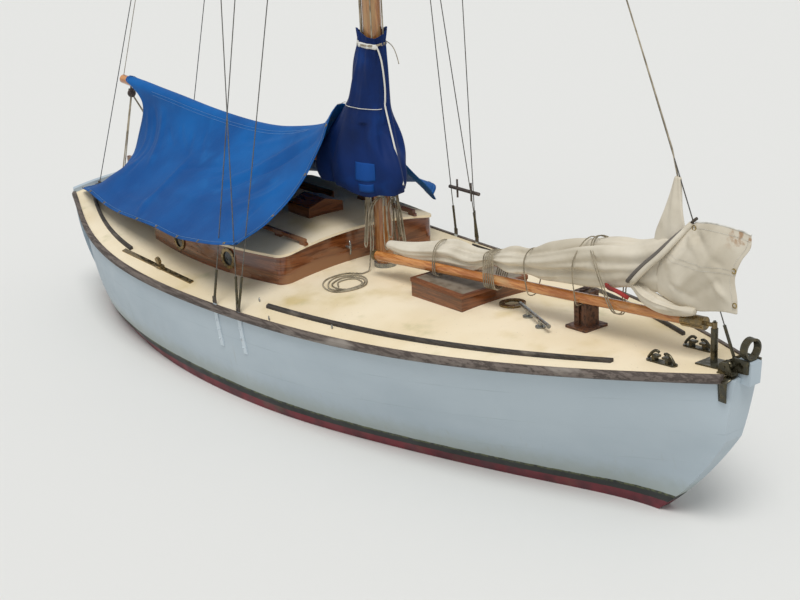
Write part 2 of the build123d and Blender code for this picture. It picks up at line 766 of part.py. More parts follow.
# Mast
with BuildPart() as mast:
    with BuildSketch(Plane(origin=(mast_x, 0, 0), x_dir=(1, 0, 0), z_dir=(0, -1, 0))):
        with BuildLine():
            Polyline((0, mast_foot_z + seat), (mast_r, mast_foot_z + seat), (mast_r, taper_z), (mast_top_r, mast_top),
                     (0, mast_top), close=True)
        make_face()
    revolve(axis=Axis((mast_x, 0, 0), (0, 0, 1)))
keep(mast.part, "mast")


def mast_radius(z):
    if z <= taper_z:
        return mast_r
    return mast_r + (mast_top_r - mast_r) * (z - taper_z) / (mast_top - taper_z)


pin_rail_z = 1410
gooseneck_z = boom_z
band_r = 5
crane_z = mast_top - 150


def collar(z, height, grow):
    """A ring round the mast, bored to its girth at the ring's lower edge."""
    with BuildPart() as ring:
        with Locations((mast_x, 0, z)):
            Cylinder(mast_radius(z) + grow, height)
            Cylinder(mast_radius(z - height / 2) + 0.1, height, mode=Mode.SUBTRACT)
    return ring.part


with BuildPart() as mast_bands:
    for z, h in ((lower_z, 45), (gooseneck_z, 50), (upper_z, 60), (crane_z, 36)):
        add(collar(z, h, band_r))
    add(collar(pin_rail_z, 12, 45))
    with Locations((mast_x, 0, pin_rail_z)):
        with PolarLocations(mast_r + 32, 6, start_angle=30):
            Cylinder(7, 150)
    add(collar(deck_z(mast_x) + 16 + seat, 30, 16))
    add(block(gooseneck_x - 5, mast_x - mast_r - 3, -9, 9, gooseneck_z - 20, gooseneck_z + 20))
    with Locations((gooseneck_x, 0, gooseneck_z)):
        Cylinder(14, 40)
        Cylinder(8 + running, 60, mode=Mode.SUBTRACT)
    add(block(gooseneck_x - 12, mast_x - mast_radius(crane_z) - 3, -6, 6, crane_z - 8, crane_z + 8))
keep(mast_bands.part, "mast_bands")

# Main boom and its gooseneck fork, turning on an upright pin behind the mast
boom_root = (gooseneck_x - 55, boom_z + 3.3)
boom_end_r = boom_r - 4
with BuildPart() as boom:
    add(rod((boom_root[0], 0, boom_root[1]), (boom_end[0], 0, boom_end[1]), boom_r, boom_end_r))
keep(boom.part, "boom")

with BuildPart() as boom_fork:
    for dz in (-1, 1):
        with Locations((gooseneck_x - 25, 0, gooseneck_z + dz * 28.5)):
            Box(90, 30, 12)
    with Locations((gooseneck_x - 50, 0, gooseneck_z)):
        Box(14, 30, 60)
    with Locations((gooseneck_x, 0, gooseneck_z)):
        Cylinder(8, 90)
    add(boom.part, mode=Mode.SUBTRACT)
keep(boom_fork.part, "boom_fork")

# Jib boom, pivoted on a post above the stem head plate
jp = Vector(*jib_pivot)
ja = Vector(*jib_boom_aft)
along = (ja - jp).normalized()
fork_len = 90
jib_start = jp + along * fork_len
with BuildPart() as jib_boom:
    add(rod(tuple(jib_start), tuple(ja), jib_boom_r - 6, jib_boom_r - 4))
keep(jib_boom.part, "jib_boom")

with BuildPart() as jib_boom_iron:
    add(rod(tuple(jp + along * 60), tuple(jp + along * (fork_len + 120)), jib_boom_r + 1))
    add(rod(tuple(jp + along * 10), tuple(jp + along * 62), 12))
    with Locations(tuple(jp)):
        Cylinder(15, 34)
    add(jib_boom.part, mode=Mode.SUBTRACT)
    with Locations(tuple(jp)):
        Cylinder(8 + running, 60, mode=Mode.SUBTRACT)
    add(rod(tuple(ja - along * 20), tuple(ja + along * 6), jib_boom_r))
    add(rod(tuple(ja - along * 30), tuple(ja), jib_boom_r - 3.9), mode=Mode.SUBTRACT)
keep(jib_boom_iron.part, "jib_boom_iron")

# Samson post, two cheeks on a flanged base
post_x, post_y, post_top = 2110, 30, 1168
post_base = deck_z(post_x, post_y)
with BuildPart() as samson_post:
    with BuildSketch(deck_plane(post_x, post_y)):
        RectangleRounded(180, 190, 12)
    extrude(amount=14)
    for s in (1, -1):
        add(block(post_x + s * 12, post_x + s * 52, post_y - 52, post_y + 52, post_base + 8, post_top))
    add(block(post_x - 20, post_x + 20, post_y - 40, post_y + 40, post_base + 8, post_base + 110))
keep(samson_post.part, "samson_post")

# Stem head fitting: a plate on deck, cheeks beside the stem and the jib boom's pivot post
plate_aft, plate_fore, plate_half = 3040, 3290, 62
stay_foot = (3262, 0, 1052)
post_foot = deck_z(jib_pivot[0])
plate_mid = (plate_aft + plate_fore) / 2
roller_base = deck_plane(3285, -82)
roller_r, roller_half, roller_pin, roller_up = 27, 14, 7, 44
cheek_t = 6
cheek_x = (3200, 3240, 3280, 3320, 3360, 3395)
with BuildPart() as stem_fitting:
    with BuildSketch(deck_plane(plate_mid, 0)):
        Rectangle(plate_fore - plate_aft, 2 * plate_half)
    extrude(amount=9)
    for s in (1, -1):
        with BuildSketch(Plane(origin=(0, s * (stem_half + seat), 0), x_dir=(1, 0, 0), z_dir=(0, -1, 0))):
            with BuildLine():
                Polyline(*[(x, deck_z(x) + 2) for x in cheek_x], (3400, 1100), (3300, 1100), (3210, 1050), close=True)
            make_face()
        extrude(amount=-s * 12)
    add(block(3250, 3274, -7, 7, deck_z(plate_mid) + 4, stay_foot[2] + 14))
    add(rod((jib_pivot[0], 0, post_foot + 6), (jib_pivot[0], 0, jib_pivot[2] - 17 - seat), 20))
    add(rod((jib_pivot[0], 0, jib_pivot[2] - 30), (jib_pivot[0], 0, jib_pivot[2] + 26), 8))
    with BuildSketch(roller_base):
        Rectangle(110, 2 * (roller_half + cheek_t + 4))
    extrude(amount=7)
    for d in (-1, 1):
        face = roller_base.origin + roller_base.y_dir * d * (roller_half + 4 + cheek_t / 2)
        with BuildSketch(Plane(origin=face, x_dir=roller_base.x_dir, z_dir=-roller_base.y_dir)):
            with BuildLine():
                Polyline((-50, 3), (50, 3), (34, 58), (18, 70), (-18, 70), (-34, 58), close=True)
            make_face()
        extrude(amount=cheek_t / 2, both=True)
    hub = roller_base.origin + roller_base.z_dir * roller_up
    side_way = roller_base.y_dir * (roller_half + cheek_t + 8)
    add(rod(tuple(hub - side_way), tuple(hub + side_way), roller_pin))
    add(deck.part, mode=Mode.SUBTRACT)
keep(stem_fitting.part, "stem_fitting")

# Gammon ring on the stem head, empty, where a bowsprit would lie
ring_r, ring_wall, ring_len = 50, 12, 44
ring_centre = (3368, 0, stem_top + ring_r + ring_wall - 2)
with BuildPart() as gammon_ring:
    with BuildSketch(frame_plane(ring_centre[0] - ring_len / 2)):
        with Locations((0, ring_centre[2])):
            Circle(ring_r + ring_wall)
        with Locations((0, stem_top + 10)):
            Rectangle(50, 22)
        with Locations((0, ring_centre[2])):
            Circle(ring_r, mode=Mode.SUBTRACT)
    extrude(amount=ring_len)
    add(stem.part, mode=Mode.SUBTRACT)
keep(gammon_ring.part, "gammon_ring")

# Bow roller beside the stem head, on the axle between its cheeks
with BuildPart() as bow_roller:
    with BuildSketch(Plane(origin=hub, x_dir=roller_base.x_dir, z_dir=roller_base.z_dir)):
        with BuildLine():
            Polyline((roller_pin + running, -roller_half), (roller_r, -roller_half))
            ThreePointArc((roller_r, -roller_half), (roller_r - 9, 0), (roller_r, roller_half))
            Polyline((roller_r, roller_half), (roller_pin + running, roller_half), (roller_pin + running, -roller_half))
        make_face()
    revolve(axis=Axis(hub, roller_base.y_dir))
keep(bow_roller.part, "bow_roller")

# Foredeck fittings
fairlead_x, fairlead_y = 2880, 150
with BuildPart() as fairleads:
    for s in (1, -1):
        plane = deck_plane(fairlead_x, s * fairlead_y)
        with BuildSketch(plane):
            SlotOverall(220, 44)
        extrude(amount=9)
        with BuildSketch(Plane(origin=plane.origin - plane.y_dir * -16, x_dir=plane.x_dir, z_dir=-plane.y_dir)):
            for d in (-1, 1):
                with Locations((d * 49, 22)):
                    Rectangle(22, 40)
                with Locations((d * 38, 36)):
                    Rectangle(44, 12)
        extrude(amount=32)
    add(deck.part, mode=Mode.SUBTRACT)
keep(fairleads.part, "fairleads")

bar_aft, bar_fore, bar_r = (1590, -30), (2030, -200), 13
bar_h = 46
with BuildPart() as bar_cleat:
    a = Vector(bar_aft[0], bar_aft[1], deck_z(*bar_aft) + bar_h)
    b = Vector(bar_fore[0], bar_fore[1], deck_z(*bar_fore) + bar_h)
    add(rod(tuple(a), tuple(b), bar_r))
    for t in (0.28, 0.72):
        c = a + (b - a) * t
        plane = deck_plane(c.X, c.Y)
        with BuildSketch(plane):
            Circle(34)
        extrude(amount=8)
        with BuildSketch(plane.offset(6)):
            Circle(14)
        extrude(amount=bar_h - 12)
keep(bar_cleat.part, "bar_cleat")

with BuildPart() as chain_pipe:
    with BuildSketch(deck_plane(chain_x, chain_y)):
        Circle(85)
        Circle(chain_r, mode=Mode.SUBTRACT)
    extrude(amount=12)
keep(chain_pipe.part, "chain_pipe")

# Standing rigging. Each line is (plate x, offset along it, height on the mast)
screw_r, screw_len, wire_r = 9, 210, 3.5
cp_top_z = {x: sheer_row(x)[1] + plate_up - 22 for x in cp_x}
cp_y = {x: sheer_row(x)[0] + plate_t / 2 for x in cp_x}
wires = [
    (cp_x[0], 0, upper_z - 10),
    (cp_x[1], 11, lower_z),
]
def to_mast(start, z):
    """Where a wire from start meets the band round the mast at height z."""
    a = Vector(*start)
    reach = mast_radius(z) + band_r + wire_r + seat
    flat = Vector(a.X - mast_x, a.Y, 0).normalized()
    return Vector(mast_x, 0, z) + flat * reach


with BuildPart() as rigging_screws:
    for x, dx, tz in wires + [(cp_x[1], -11, None)]:
        for s in (1, -1):
            a = Vector(x + dx, s * cp_y[x], cp_top_z[x] + 2)
            b = to_mast(tuple(a), tz) if tz else Vector(spreader_tip[0], s * spreader_tip[1], spreader_tip[2])
            e = a + (b - a).normalized() * screw_len
            add(rod(tuple(a), tuple(e), screw_r))
    foot = Vector(stay_foot[0], 0, stay_foot[2] + 15)
    head = to_mast(tuple(foot), upper_z)
    add(rod(tuple(foot), tuple(foot + (head - foot).normalized() * 190), screw_r))
    add(chainplates.part, mode=Mode.SUBTRACT)
    add(stem_fitting.part, mode=Mode.SUBTRACT)
keep(rigging_screws.part, "rigging_screws")

with BuildPart() as stays:
    for s in (1, -1):
        for x, dx, tz in wires:
            a = Vector(x + dx, s * cp_y[x], cp_top_z[x] + 2)
            b = to_mast(tuple(a), tz)
            d = (b - a).normalized()
            add(rod(tuple(a + d * (screw_len + 0.2)), tuple(b), wire_r))
        x, dx = cp_x[1], -11
        a = Vector(x + dx, s * cp_y[x], cp_top_z[x] + 2)
        t = Vector(spreader_tip[0], s * spreader_tip[1], spreader_tip[2])
        d = (t - a).normalized()
        add(rod(tuple(a + d * (screw_len + 0.2)), tuple(t), wire_r))
        add(rod(tuple(t), tuple(to_mast(tuple(t), upper_z + 14)), wire_r))
    add(rod(tuple(foot + (head - foot).normalized() * 190.2), tuple(head), wire_r))
    for s in (1, -1):
        q = (quarter[0], s * quarter[1], deck_z(*quarter) + 34)
        add(rod(q, tuple(to_mast(q, upper_z + 24)), wire_r))
    add(chainplates.part, mode=Mode.SUBTRACT)
keep(stays.part, "stays")

# Spreaders, each grooved at its tip for the cap shroud
with BuildPart() as spreaders:
    for s in (1, -1):
        tip = (spreader_tip[0], s * (spreader_tip[1] + 6), spreader_tip[2])
        add(rod((mast_x, s * 20, spreader_z), tip, 20, 12))
    add(rod((mast_x, 0, spreader_z - 60), (mast_x, 0, spreader_z + 60), mast_r + 0.1), mode=Mode.SUBTRACT)
    add(stays.part, mode=Mode.SUBTRACT)
keep(spreaders.part, "spreaders")

lift_end = Vector(boom_end[0] + 14, 0, boom_end[1] + boom_r - 3)
with BuildPart() as topping_lift:
    add(rod(tuple(lift_end), (gooseneck_x, 0, crane_z - 10), 3))
keep(topping_lift.part, "topping_lift")

# Sheet tracks on the side decks with a sliding eye block on each
track_fore, track_aft, track_y, track_h = -833, -1844, 980, 9
car_x = -1279


def track_section(s):
    def at(x):
        inner, outer = track_y - 16, track_y + 16
        z0, z1 = deck_z(x, inner) - sunk_in, deck_z(x, outer) - sunk_in
        rise = sunk_in + track_h
        return [(s * inner, z0), (s * outer, z1), (s * outer, z1 + rise), (s * inner, z0 + rise)]
    return at


with BuildPart() as sheet_tracks:
    for s in (1, -1):
        add(strip(track_aft, track_fore, track_section(s), 4))
    add(deck.part, mode=Mode.SUBTRACT)
keep(sheet_tracks.part, "sheet_tracks")

with BuildPart() as track_cars:
    for s in (1, -1):
        plane = deck_plane(car_x, s * track_y).offset(track_h + seat)
        with BuildSketch(plane):
            RectangleRounded(70, 42, 6)
        extrude(amount=16)
        with BuildSketch(plane.offset(14)):
            Rectangle(40, 16)
        extrude(amount=40)
        with BuildSketch(Plane(origin=plane.origin + plane.z_dir * 56 + plane.y_dir * 12, x_dir=plane.x_dir,
                               z_dir=-plane.y_dir)):
            Circle(26)
        extrude(amount=24)
keep(track_cars.part, "track_cars")

cleat_x, cleat_y = -3050, 520
deck_block_x, deck_block_y = -3180, 260
with BuildPart() as quarter_fittings:
    for s in (1, -1):
        plane = deck_plane(cleat_x, s * cleat_y)
        with BuildSketch(plane):
            RectangleRounded(100, 32, 6)
        extrude(amount=6)
        for d in (-1, 1):
            with BuildSketch(plane.offset(4)):
                with Locations((d * 26, 0)):
                    Circle(11)
            extrude(amount=34)
        bar = plane.origin + plane.z_dir * 40
        add(rod(tuple(bar - plane.x_dir * 95), tuple(bar + plane.x_dir * 95), 11))
    for s in (1, -1):
        plane = deck_plane(deck_block_x, s * deck_block_y)
        with BuildSketch(plane):
            Rectangle(24, 40)
        extrude(amount=60)
        sheave = plane.origin + plane.z_dir * 62
        add(rod(tuple(sheave - plane.x_dir * 12), tuple(sheave + plane.x_dir * 12), 32))
keep(quarter_fittings.part, "quarter_fittings")

# Mainsheet block under the boom's end
with BuildPart() as boom_block:
    with Locations((boom_end[0] + 120, 0, boom_end[1] - boom_r - 60)):
        Box(22, 44, 70)
    add(rod((boom_end[0] + 108, 0, boom_end[1] - boom_r - 66), (boom_end[0] + 132, 0, boom_end[1] - boom_r - 66), 34))
    add(rod((boom_end[0] + 120, 0, boom_end[1] - boom_r - 40), (boom_end[0] + 120, 0, boom_end[1]), 8))
    add(boom.part, mode=Mode.SUBTRACT)
keep(boom_block.part, "boom_block")

# The form of the mast's cover, which the tent stops at. Rows: height, centre x, half length, half width
cover_rows = [(1380, 60, 330, 190), (1500, 50, 350, 200), (1800, 20, 380, 190), (2300, 130, 190, 140),
              (2490, 145, 150, 115)]


def cover_form(grow):
    """The cover's outer form as one solid, grown by a gap."""
    with BuildPart() as form:
        for z, cx, a, b in cover_rows:
            with BuildSketch(Plane.XY.offset(z)):
                with Locations((cx, 0)):
                    Ellipse(a + grow, b + grow)
        loft()
    return form.part


# Cockpit tent, a cloth sheet over the boom. Rows run aft to forward: x, then
# (y, z) down one side, from the ridge round the boom to the hem
cloth = 5


def over_boom(x, flank, drop):
    """Two points where the cloth lies over the boom at x: the ridge and the edge of its flat."""
    share = (boom_root[0] - x) / (boom_root[0] - boom_end[0])
    axis_z = boom_root[1] + (boom_end[1] - boom_root[1]) * share
    reach = boom_r + (boom_end_r - boom_r) * share + cloth + 2 * seat
    top = axis_z + reach * math.hypot(flank, drop) / flank
    return (0, top), (flank, top - drop)


tent_rows = [
    (-3345, *over_boom(-3345, 38, 12), (55, 1719), (24, 1400), (95, 1135), (560, 935)),
    (-2900, *over_boom(-2900, 38, 12), (56, 1691), (130, 1500), (300, 1230), (720, 945)),
    (-1900, *over_boom(-1900, 38, 12), (58, 1630), (260, 1460), (560, 1235), (905, 990)),
    (-1100, (0, 1690), (45, 1668), (80, 1630), (300, 1490), (620, 1310), (985, 1045)),
    (-60, (0, 1850), (50, 1815), (100, 1765), (240, 1620), (480, 1420), (1015, 1225)),
]

def inner_line(points, depth):
    """The same line moved inwards by the cloth's thickness, its first point kept on the centreline."""
    out = []
    for i, (y, z) in enumerate(points):
        normals = []
        for a, b in ((i - 1, i), (i, i + 1)):
            if a >= 0 and b < len(points):
                dy, dz = points[b][0] - points[a][0], points[b][1] - points[a][1]
                length = math.hypot(dy, dz)
                normals.append((dz / length, -dy / length))
        if i == 0:
            out.append((0, z - depth / abs(normals[0][1])))
            continue
        ny, nz = sum(n[0] for n in normals), sum(n[1] for n in normals)
        length = math.hypot(ny, nz)
        share = sum(n[0] * ny + n[1] * nz for n in normals) / length / len(normals)
        out.append((y + ny / length * depth / share, z + nz / length * depth / share))
    return out


with BuildPart() as cockpit_tent:
    for x, *outer in tent_rows:
        inner = inner_line(outer, cloth)
        right = outer + inner[::-1]
        left = [(-y, z) for y, z in inner[1:]] + [(-y, z) for y, z in outer[:0:-1]]
        with BuildSketch(frame_plane(x)):
            with BuildLine():
                Polyline(*right, *left, close=True)
            make_face()
    loft(ruled=True)
    with BuildSketch(XZ):
        with BuildLine():
            Polyline((-3345, 1900), (-3345, 1700), (-3300, 1500), (-3300, 1150), (-3215, 1020), (-3190, 850),
                     (-110, 850), (-110, 1200), (-150, 1257), (-250, 1530), (-350, 1815), (-350, 1900), close=True)
        make_face()
    extrude(amount=trim_half, both=True, mode=Mode.INTERSECT)
    add(cover_form(seat), mode=Mode.SUBTRACT)
keep(cockpit_tent.part, "cockpit_tent")

# Sail cover, laced round the mast, the boom's root and the furled sail
with BuildPart() as sail_cover:
    add(cover_form(0))
    add(rod((mast_x, 0, 1000), (mast_x, 0, 3000), mast_r + seat), mode=Mode.SUBTRACT)
    add(block(-700, mast_x, -70, 70, 1300, 1620), mode=Mode.SUBTRACT)
    add(rod((mast_x, 0, 1300), (mast_x, 0, 1560), mast_r + 50), mode=Mode.SUBTRACT)
keep(sail_cover.part, "sail_cover")

# Staysail stowed on its boom. Rows: x, centre y, underside z, top z, half width
stow_rows = [(480, -150, 1110, 1160, 40), (1000, -110, 1135, 1235, 60), (1900, -70, 1205, 1400, 80),
             (2420, -20, 1245, 1540, 110), (2900, 60, 1270, 1740, 120), (3240, 110, 1400, 1780, 90)]
with BuildPart() as staysail_stow:
    for x, cy, z0, z1, w in stow_rows:
        with BuildSketch(frame_plane(x)):
            with Locations((cy, (z0 + z1) / 2)):
                Ellipse(w, (z1 - z0) / 2)
    loft()
    add(rod(tuple(foot), tuple(head), wire_r + seat), mode=Mode.SUBTRACT)
    add(rod(tuple(foot), tuple(foot + (head - foot).normalized() * 200), screw_r + 6), mode=Mode.SUBTRACT)
    add(jib_boom.part, mode=Mode.SUBTRACT)
    add(jib_boom_iron.part, mode=Mode.SUBTRACT)
keep(staysail_stow.part, "staysail_stow")
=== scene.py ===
"""An old wooden sailing sloop, laid up under her cockpit tent with both sails stowed."""

import math

import bmesh
import bpy
import numpy as np
from mathutils import Matrix, Vector, noise


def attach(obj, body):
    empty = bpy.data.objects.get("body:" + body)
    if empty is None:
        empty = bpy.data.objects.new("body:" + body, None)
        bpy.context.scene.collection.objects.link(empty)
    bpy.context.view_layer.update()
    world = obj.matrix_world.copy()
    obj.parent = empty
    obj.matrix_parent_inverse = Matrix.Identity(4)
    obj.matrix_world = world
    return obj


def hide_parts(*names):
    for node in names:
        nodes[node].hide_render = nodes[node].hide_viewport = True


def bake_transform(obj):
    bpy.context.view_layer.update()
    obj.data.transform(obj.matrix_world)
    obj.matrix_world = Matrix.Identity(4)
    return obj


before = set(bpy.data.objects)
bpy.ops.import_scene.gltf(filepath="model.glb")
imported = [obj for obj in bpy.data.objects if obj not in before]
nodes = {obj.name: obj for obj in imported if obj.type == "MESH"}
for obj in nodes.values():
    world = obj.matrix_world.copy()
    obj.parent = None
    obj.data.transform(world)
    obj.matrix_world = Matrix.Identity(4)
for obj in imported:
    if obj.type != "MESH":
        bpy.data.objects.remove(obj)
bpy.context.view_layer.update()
scene = bpy.context.scene
scene.view_settings.view_transform = "Standard"

# Camera: it stands off the starboard bow above the deck, as in the photograph, and leans a little to port.
# Its place is in metres and its angles in degrees, both fitted to the lines of the hull.
camera_place = (8.13296, -5.86322, 4.15499)
heading, dip, lean = math.radians(143.14539), math.radians(19.68595), math.radians(3.04112)
ahead = Vector((math.cos(heading) * math.cos(dip), math.sin(heading) * math.cos(dip), -math.sin(dip)))
level = Vector((math.sin(heading), -math.cos(heading), 0))
below = ahead.cross(level)
right = math.cos(lean) * level + math.sin(lean) * below
down = math.cos(lean) * below - math.sin(lean) * level
camera = bpy.data.objects.new("camera", bpy.data.cameras.new("camera"))
scene.collection.objects.link(camera)
camera.matrix_world = Matrix.Translation(camera_place) @ Matrix((right, -down, -ahead)).transposed().to_4x4()
camera.data.sensor_fit = "HORIZONTAL"
camera.data.sensor_width = 36
camera.data.lens = 67.5
camera.data.clip_end = 300
scene.camera = camera


# Floor and light: a plain pale floor at the waterline, an overcast white sky and one wide soft sun.
def node(tree, kind, inputs=None, **settings):
    """Adds a shader node with its settings, and its inputs as values or as other nodes' outputs."""
    made = tree.nodes.new(kind)
    for name, value in settings.items():
        setattr(made, name, value)
    for socket, value in (inputs or {}).items():
        if isinstance(value, bpy.types.NodeSocket):
            tree.links.new(value, made.inputs[socket])
        else:
            made.inputs[socket].default_value = value
    return made


def colour(code):
    """The linear colour of an sRGB hex code."""
    parts = [int(code[k:k + 2], 16) / 255 for k in (1, 3, 5)]
    return tuple(p / 12.92 if p <= 0.04045 else ((p + 0.055) / 1.055) ** 2.4 for p in parts) + (1.0,)


def finish(name, base, rough, metal=0.0):
    """A new material with its shader and its object coordinates, which are metres in the boat's frame."""
    made = bpy.data.materials.new(name)
    made.use_nodes = True
    shader = made.node_tree.nodes["Principled BSDF"]
    shader.inputs["Base Color"].default_value = colour(base)
    shader.inputs["Roughness"].default_value = rough
    shader.inputs["Metallic"].default_value = metal
    where = node(made.node_tree, "ShaderNodeTexCoord").outputs["Object"]
    return made, made.node_tree, shader, where


def mesh_piece(name, points, faces, material, body):
    """A mesh object at the origin with its place in its vertices, riding on a body."""
    mesh = bpy.data.meshes.new(name)
    mesh.from_pydata([tuple(float(c) for c in p) for p in points], [], [tuple(f) for f in faces])
    mesh.update()
    mesh.polygons.foreach_set("use_smooth", [True] * len(mesh.polygons))
    piece = bpy.data.objects.new(name, mesh)
    scene.collection.objects.link(piece)
    if material:
        mesh.materials.append(material)
    if body:
        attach(piece, body)
    return piece


floor_finish, tree, shader, where = finish("pale_floor", "#DEDDD9", 0.9)
far = 90
floor = mesh_piece("floor", [(-far, -far, 0), (far, -far, 0), (far, far, 0), (-far, far, 0)], [(0, 1, 2, 3)],
                   floor_finish, None)
sky = bpy.data.worlds.new("sky")
sky.use_nodes = True
backdrop = sky.node_tree.nodes["Background"]
backdrop.inputs["Color"].default_value = colour("#F2F5F8")
backdrop.inputs["Strength"].default_value = 0.62
scene.world = sky
sun = bpy.data.objects.new("sun", bpy.data.lights.new("sun", "SUN"))
scene.collection.objects.link(sun)
sun.data.energy = 1.9
sun.data.angle = math.radians(28)
sun.rotation_euler = (math.radians(24), math.radians(14), math.radians(20))


# Hull: carvel planks on edge, filled and painted pale blue-white, with the seams just showing. A black
# boot top with green weed along its upper edge parts it from the red bottom paint.
def patches(tree, where, mm, detail=2.0, rough=0.5, stretch=(1, 1, 1), seed=0.0):
    """Noise from 0 to 1 with patches about mm across, longer along an axis where stretch is large."""
    turned = node(tree, "ShaderNodeMapping", {
        "Vector": where, "Location": (seed, seed * 0.7, seed * 1.3),
        "Scale": tuple(1 / s for s in stretch)}).outputs[0]
    return node(tree, "ShaderNodeTexNoise", {
        "Vector": turned, "Scale": 1000 / mm, "Detail": detail, "Roughness": rough}).outputs[0]


def between(tree, value, low, high, smooth=True):
    """0 where the value is under low and 1 where it is over high."""
    return node(tree, "ShaderNodeMapRange", {"Value": value, "From Min": low, "From Max": high},
                interpolation_type="SMOOTHSTEP" if smooth else "LINEAR", clamp=True).outputs[0]


def sums(tree, how, a, b=0.0):
    """One sum on two values or outputs; how is Blender's name for it."""
    return node(tree, "ShaderNodeMath", {0: a, 1: b}, operation=how).outputs[0]


def mixed(tree, share, a, b):
    """Colour a turned to colour b by share; each is a hex code or a node's output."""
    a = colour(a) if isinstance(a, str) else a
    b = colour(b) if isinstance(b, str) else b
    return node(tree, "ShaderNodeMix", {0: share, 6: a, 7: b}, data_type="RGBA", clamp_factor=True).outputs[2]


def raised(tree, shader, height, mm, after=None):
    """Bump of mm between the pattern's 0 and 1."""
    made = node(tree, "ShaderNodeBump", {"Height": height, "Distance": mm / 1000, "Strength": 1.0})
    if after:
        tree.links.new(after, made.inputs["Normal"])
    tree.links.new(made.outputs[0], shader.inputs["Normal"])
    return made.outputs[0]


def paint_over(tree, shader, output, socket="Base Color"):
    """Lets a pattern drive one of the shader's sockets."""
    tree.links.new(output, shader.inputs[socket])


def dress(material, *names):
    """Gives CAD nodes their material."""
    for name in names:
        nodes[name].data.materials.clear()
        nodes[name].data.materials.append(material)


hull_finish, tree, shader, where = finish("painted_planking", "#CFDBE2", 0.42)
x, y, z = node(tree, "ShaderNodeSeparateXYZ", {0: where}).outputs
plank_width, red_top, black_top = 0.105, 0.070, 0.130
wander = sums(tree, "MULTIPLY", sums(tree, "SUBTRACT", patches(tree, where, 60, 4), 0.5), 0.02)
sheer = sums(tree, "ADD", 0.735, sums(tree, "MULTIPLY", x, sums(tree, "ADD", 0.0336, sums(
    tree, "MULTIPLY", x, sums(tree, "ADD", 0.0195, sums(tree, "MULTIPLY", x, 0.0004))))))
plank = sums(tree, "PINGPONG", sums(tree, "DIVIDE", sums(tree, "SUBTRACT", sheer, z), plank_width), 1.0)
seam = sums(tree, "SUBTRACT", 1.0, between(tree, plank, 0.0, 0.05))
seam = sums(tree, "MULTIPLY", seam, between(tree, patches(tree, where, 420, 2), 0.35, 0.7))
cloudy = between(tree, patches(tree, where, 500, 4, stretch=(3, 3, 1)), 0.3, 0.75)
pale = mixed(tree, cloudy, "#B5C1C8", "#A7B4BC")
pale = mixed(tree, sums(tree, "MULTIPLY", seam, 0.30), pale, "#8E9BA2")
runs = between(tree, patches(tree, where, 45, 3, stretch=(1, 1, 14)), 0.62, 0.85)
runs = sums(tree, "MULTIPLY", runs, between(tree, z, 0.75, 0.20))
pale = mixed(tree, sums(tree, "MULTIPLY", runs, 0.35), pale, "#9B9A86")
grime = between(tree, sums(tree, "ADD", z, sums(tree, "MULTIPLY", wander, 4.0)), 0.30, 0.13)
pale = mixed(tree, sums(tree, "MULTIPLY", grime, 0.45), pale, "#8F937E")
weed = between(tree, patches(tree, where, 22, 4), 0.35, 0.6)
black = mixed(tree, patches(tree, where, 50, 4), "#1A1E1F", "#2C302C")
edge = between(tree, sums(tree, "ADD", z, wander), 0.108, 0.122)
black = mixed(tree, sums(tree, "MULTIPLY", sums(tree, "MULTIPLY", edge, weed), 0.85), black, "#5E6440")
red = mixed(tree, between(tree, patches(tree, where, 120, 4), 0.3, 0.7), "#7A2A33", "#54222A")
red = mixed(tree, sums(tree, "MULTIPLY", between(tree, patches(tree, where, 260, 4), 0.52, 0.72), 0.5),
            red, "#5D5A45")
band = sums(tree, "ADD", z, sums(tree, "MULTIPLY", wander, 0.25))
paint = mixed(tree, between(tree, band, red_top - 0.001, red_top + 0.001), red, black)
line = sums(tree, "ADD", z, sums(tree, "MULTIPLY", wander, 0.5))
paint = mixed(tree, between(tree, line, black_top - 0.002, black_top + 0.002), paint, pale)
paint_over(tree, shader, paint)
paint_over(tree, shader, between(tree, patches(tree, where, 160, 3), -0.9, 1.6), "Roughness")
relief = raised(tree, shader, sums(tree, "SUBTRACT", 1.0, seam), 0.7)
raised(tree, shader, patches(tree, where, 260, 2), 2.5, relief)
dress(hull_finish, "hull", "transom", "rudder", "deadwood", "stem")

# Ballast keel: cast iron, painted over with the same red bottom paint and bleeding rust.
keel_finish, tree, shader, where = finish("red_painted_iron", "#5E2A2C", 0.75)
rust = between(tree, patches(tree, where, 90, 4), 0.45, 0.7)
paint_over(tree, shader, mixed(tree, rust, "#64282E", "#6B3F27"))
raised(tree, shader, patches(tree, where, 14, 4), 1.2)
dress(keel_finish, "ballast_keel")

# Deck and roofs: canvas under cream paint, chalky, with yellow and green stains where rain lies.
deck_finish, tree, shader, where = finish("cream_deck_paint", "#EFDDBB", 0.72)
base = mixed(tree, between(tree, patches(tree, where, 700, 4), 0.3, 0.7), "#F1E2C4", "#E5D2AD")
base = mixed(tree, sums(tree, "MULTIPLY", between(tree, patches(tree, where, 420, 5, seed=3.0), 0.55, 0.78),
                        0.75), base, "#CDB679")
base = mixed(tree, sums(tree, "MULTIPLY", between(tree, patches(tree, where, 300, 5, seed=8.0), 0.60, 0.8),
                        0.6), base, "#A8A56F")
speck = between(tree, patches(tree, where, 16, 3, seed=5.0), 0.68, 0.76)
base = mixed(tree, sums(tree, "MULTIPLY", speck, 0.45), base, "#8E8468")
paint_over(tree, shader, base)
grit = raised(tree, shader, patches(tree, where, 3, 2), 0.25)
raised(tree, shader, patches(tree, where, 180, 3), 1.5, grit)
dress(deck_finish, "deck", "coachroof_top", "companion_slide")


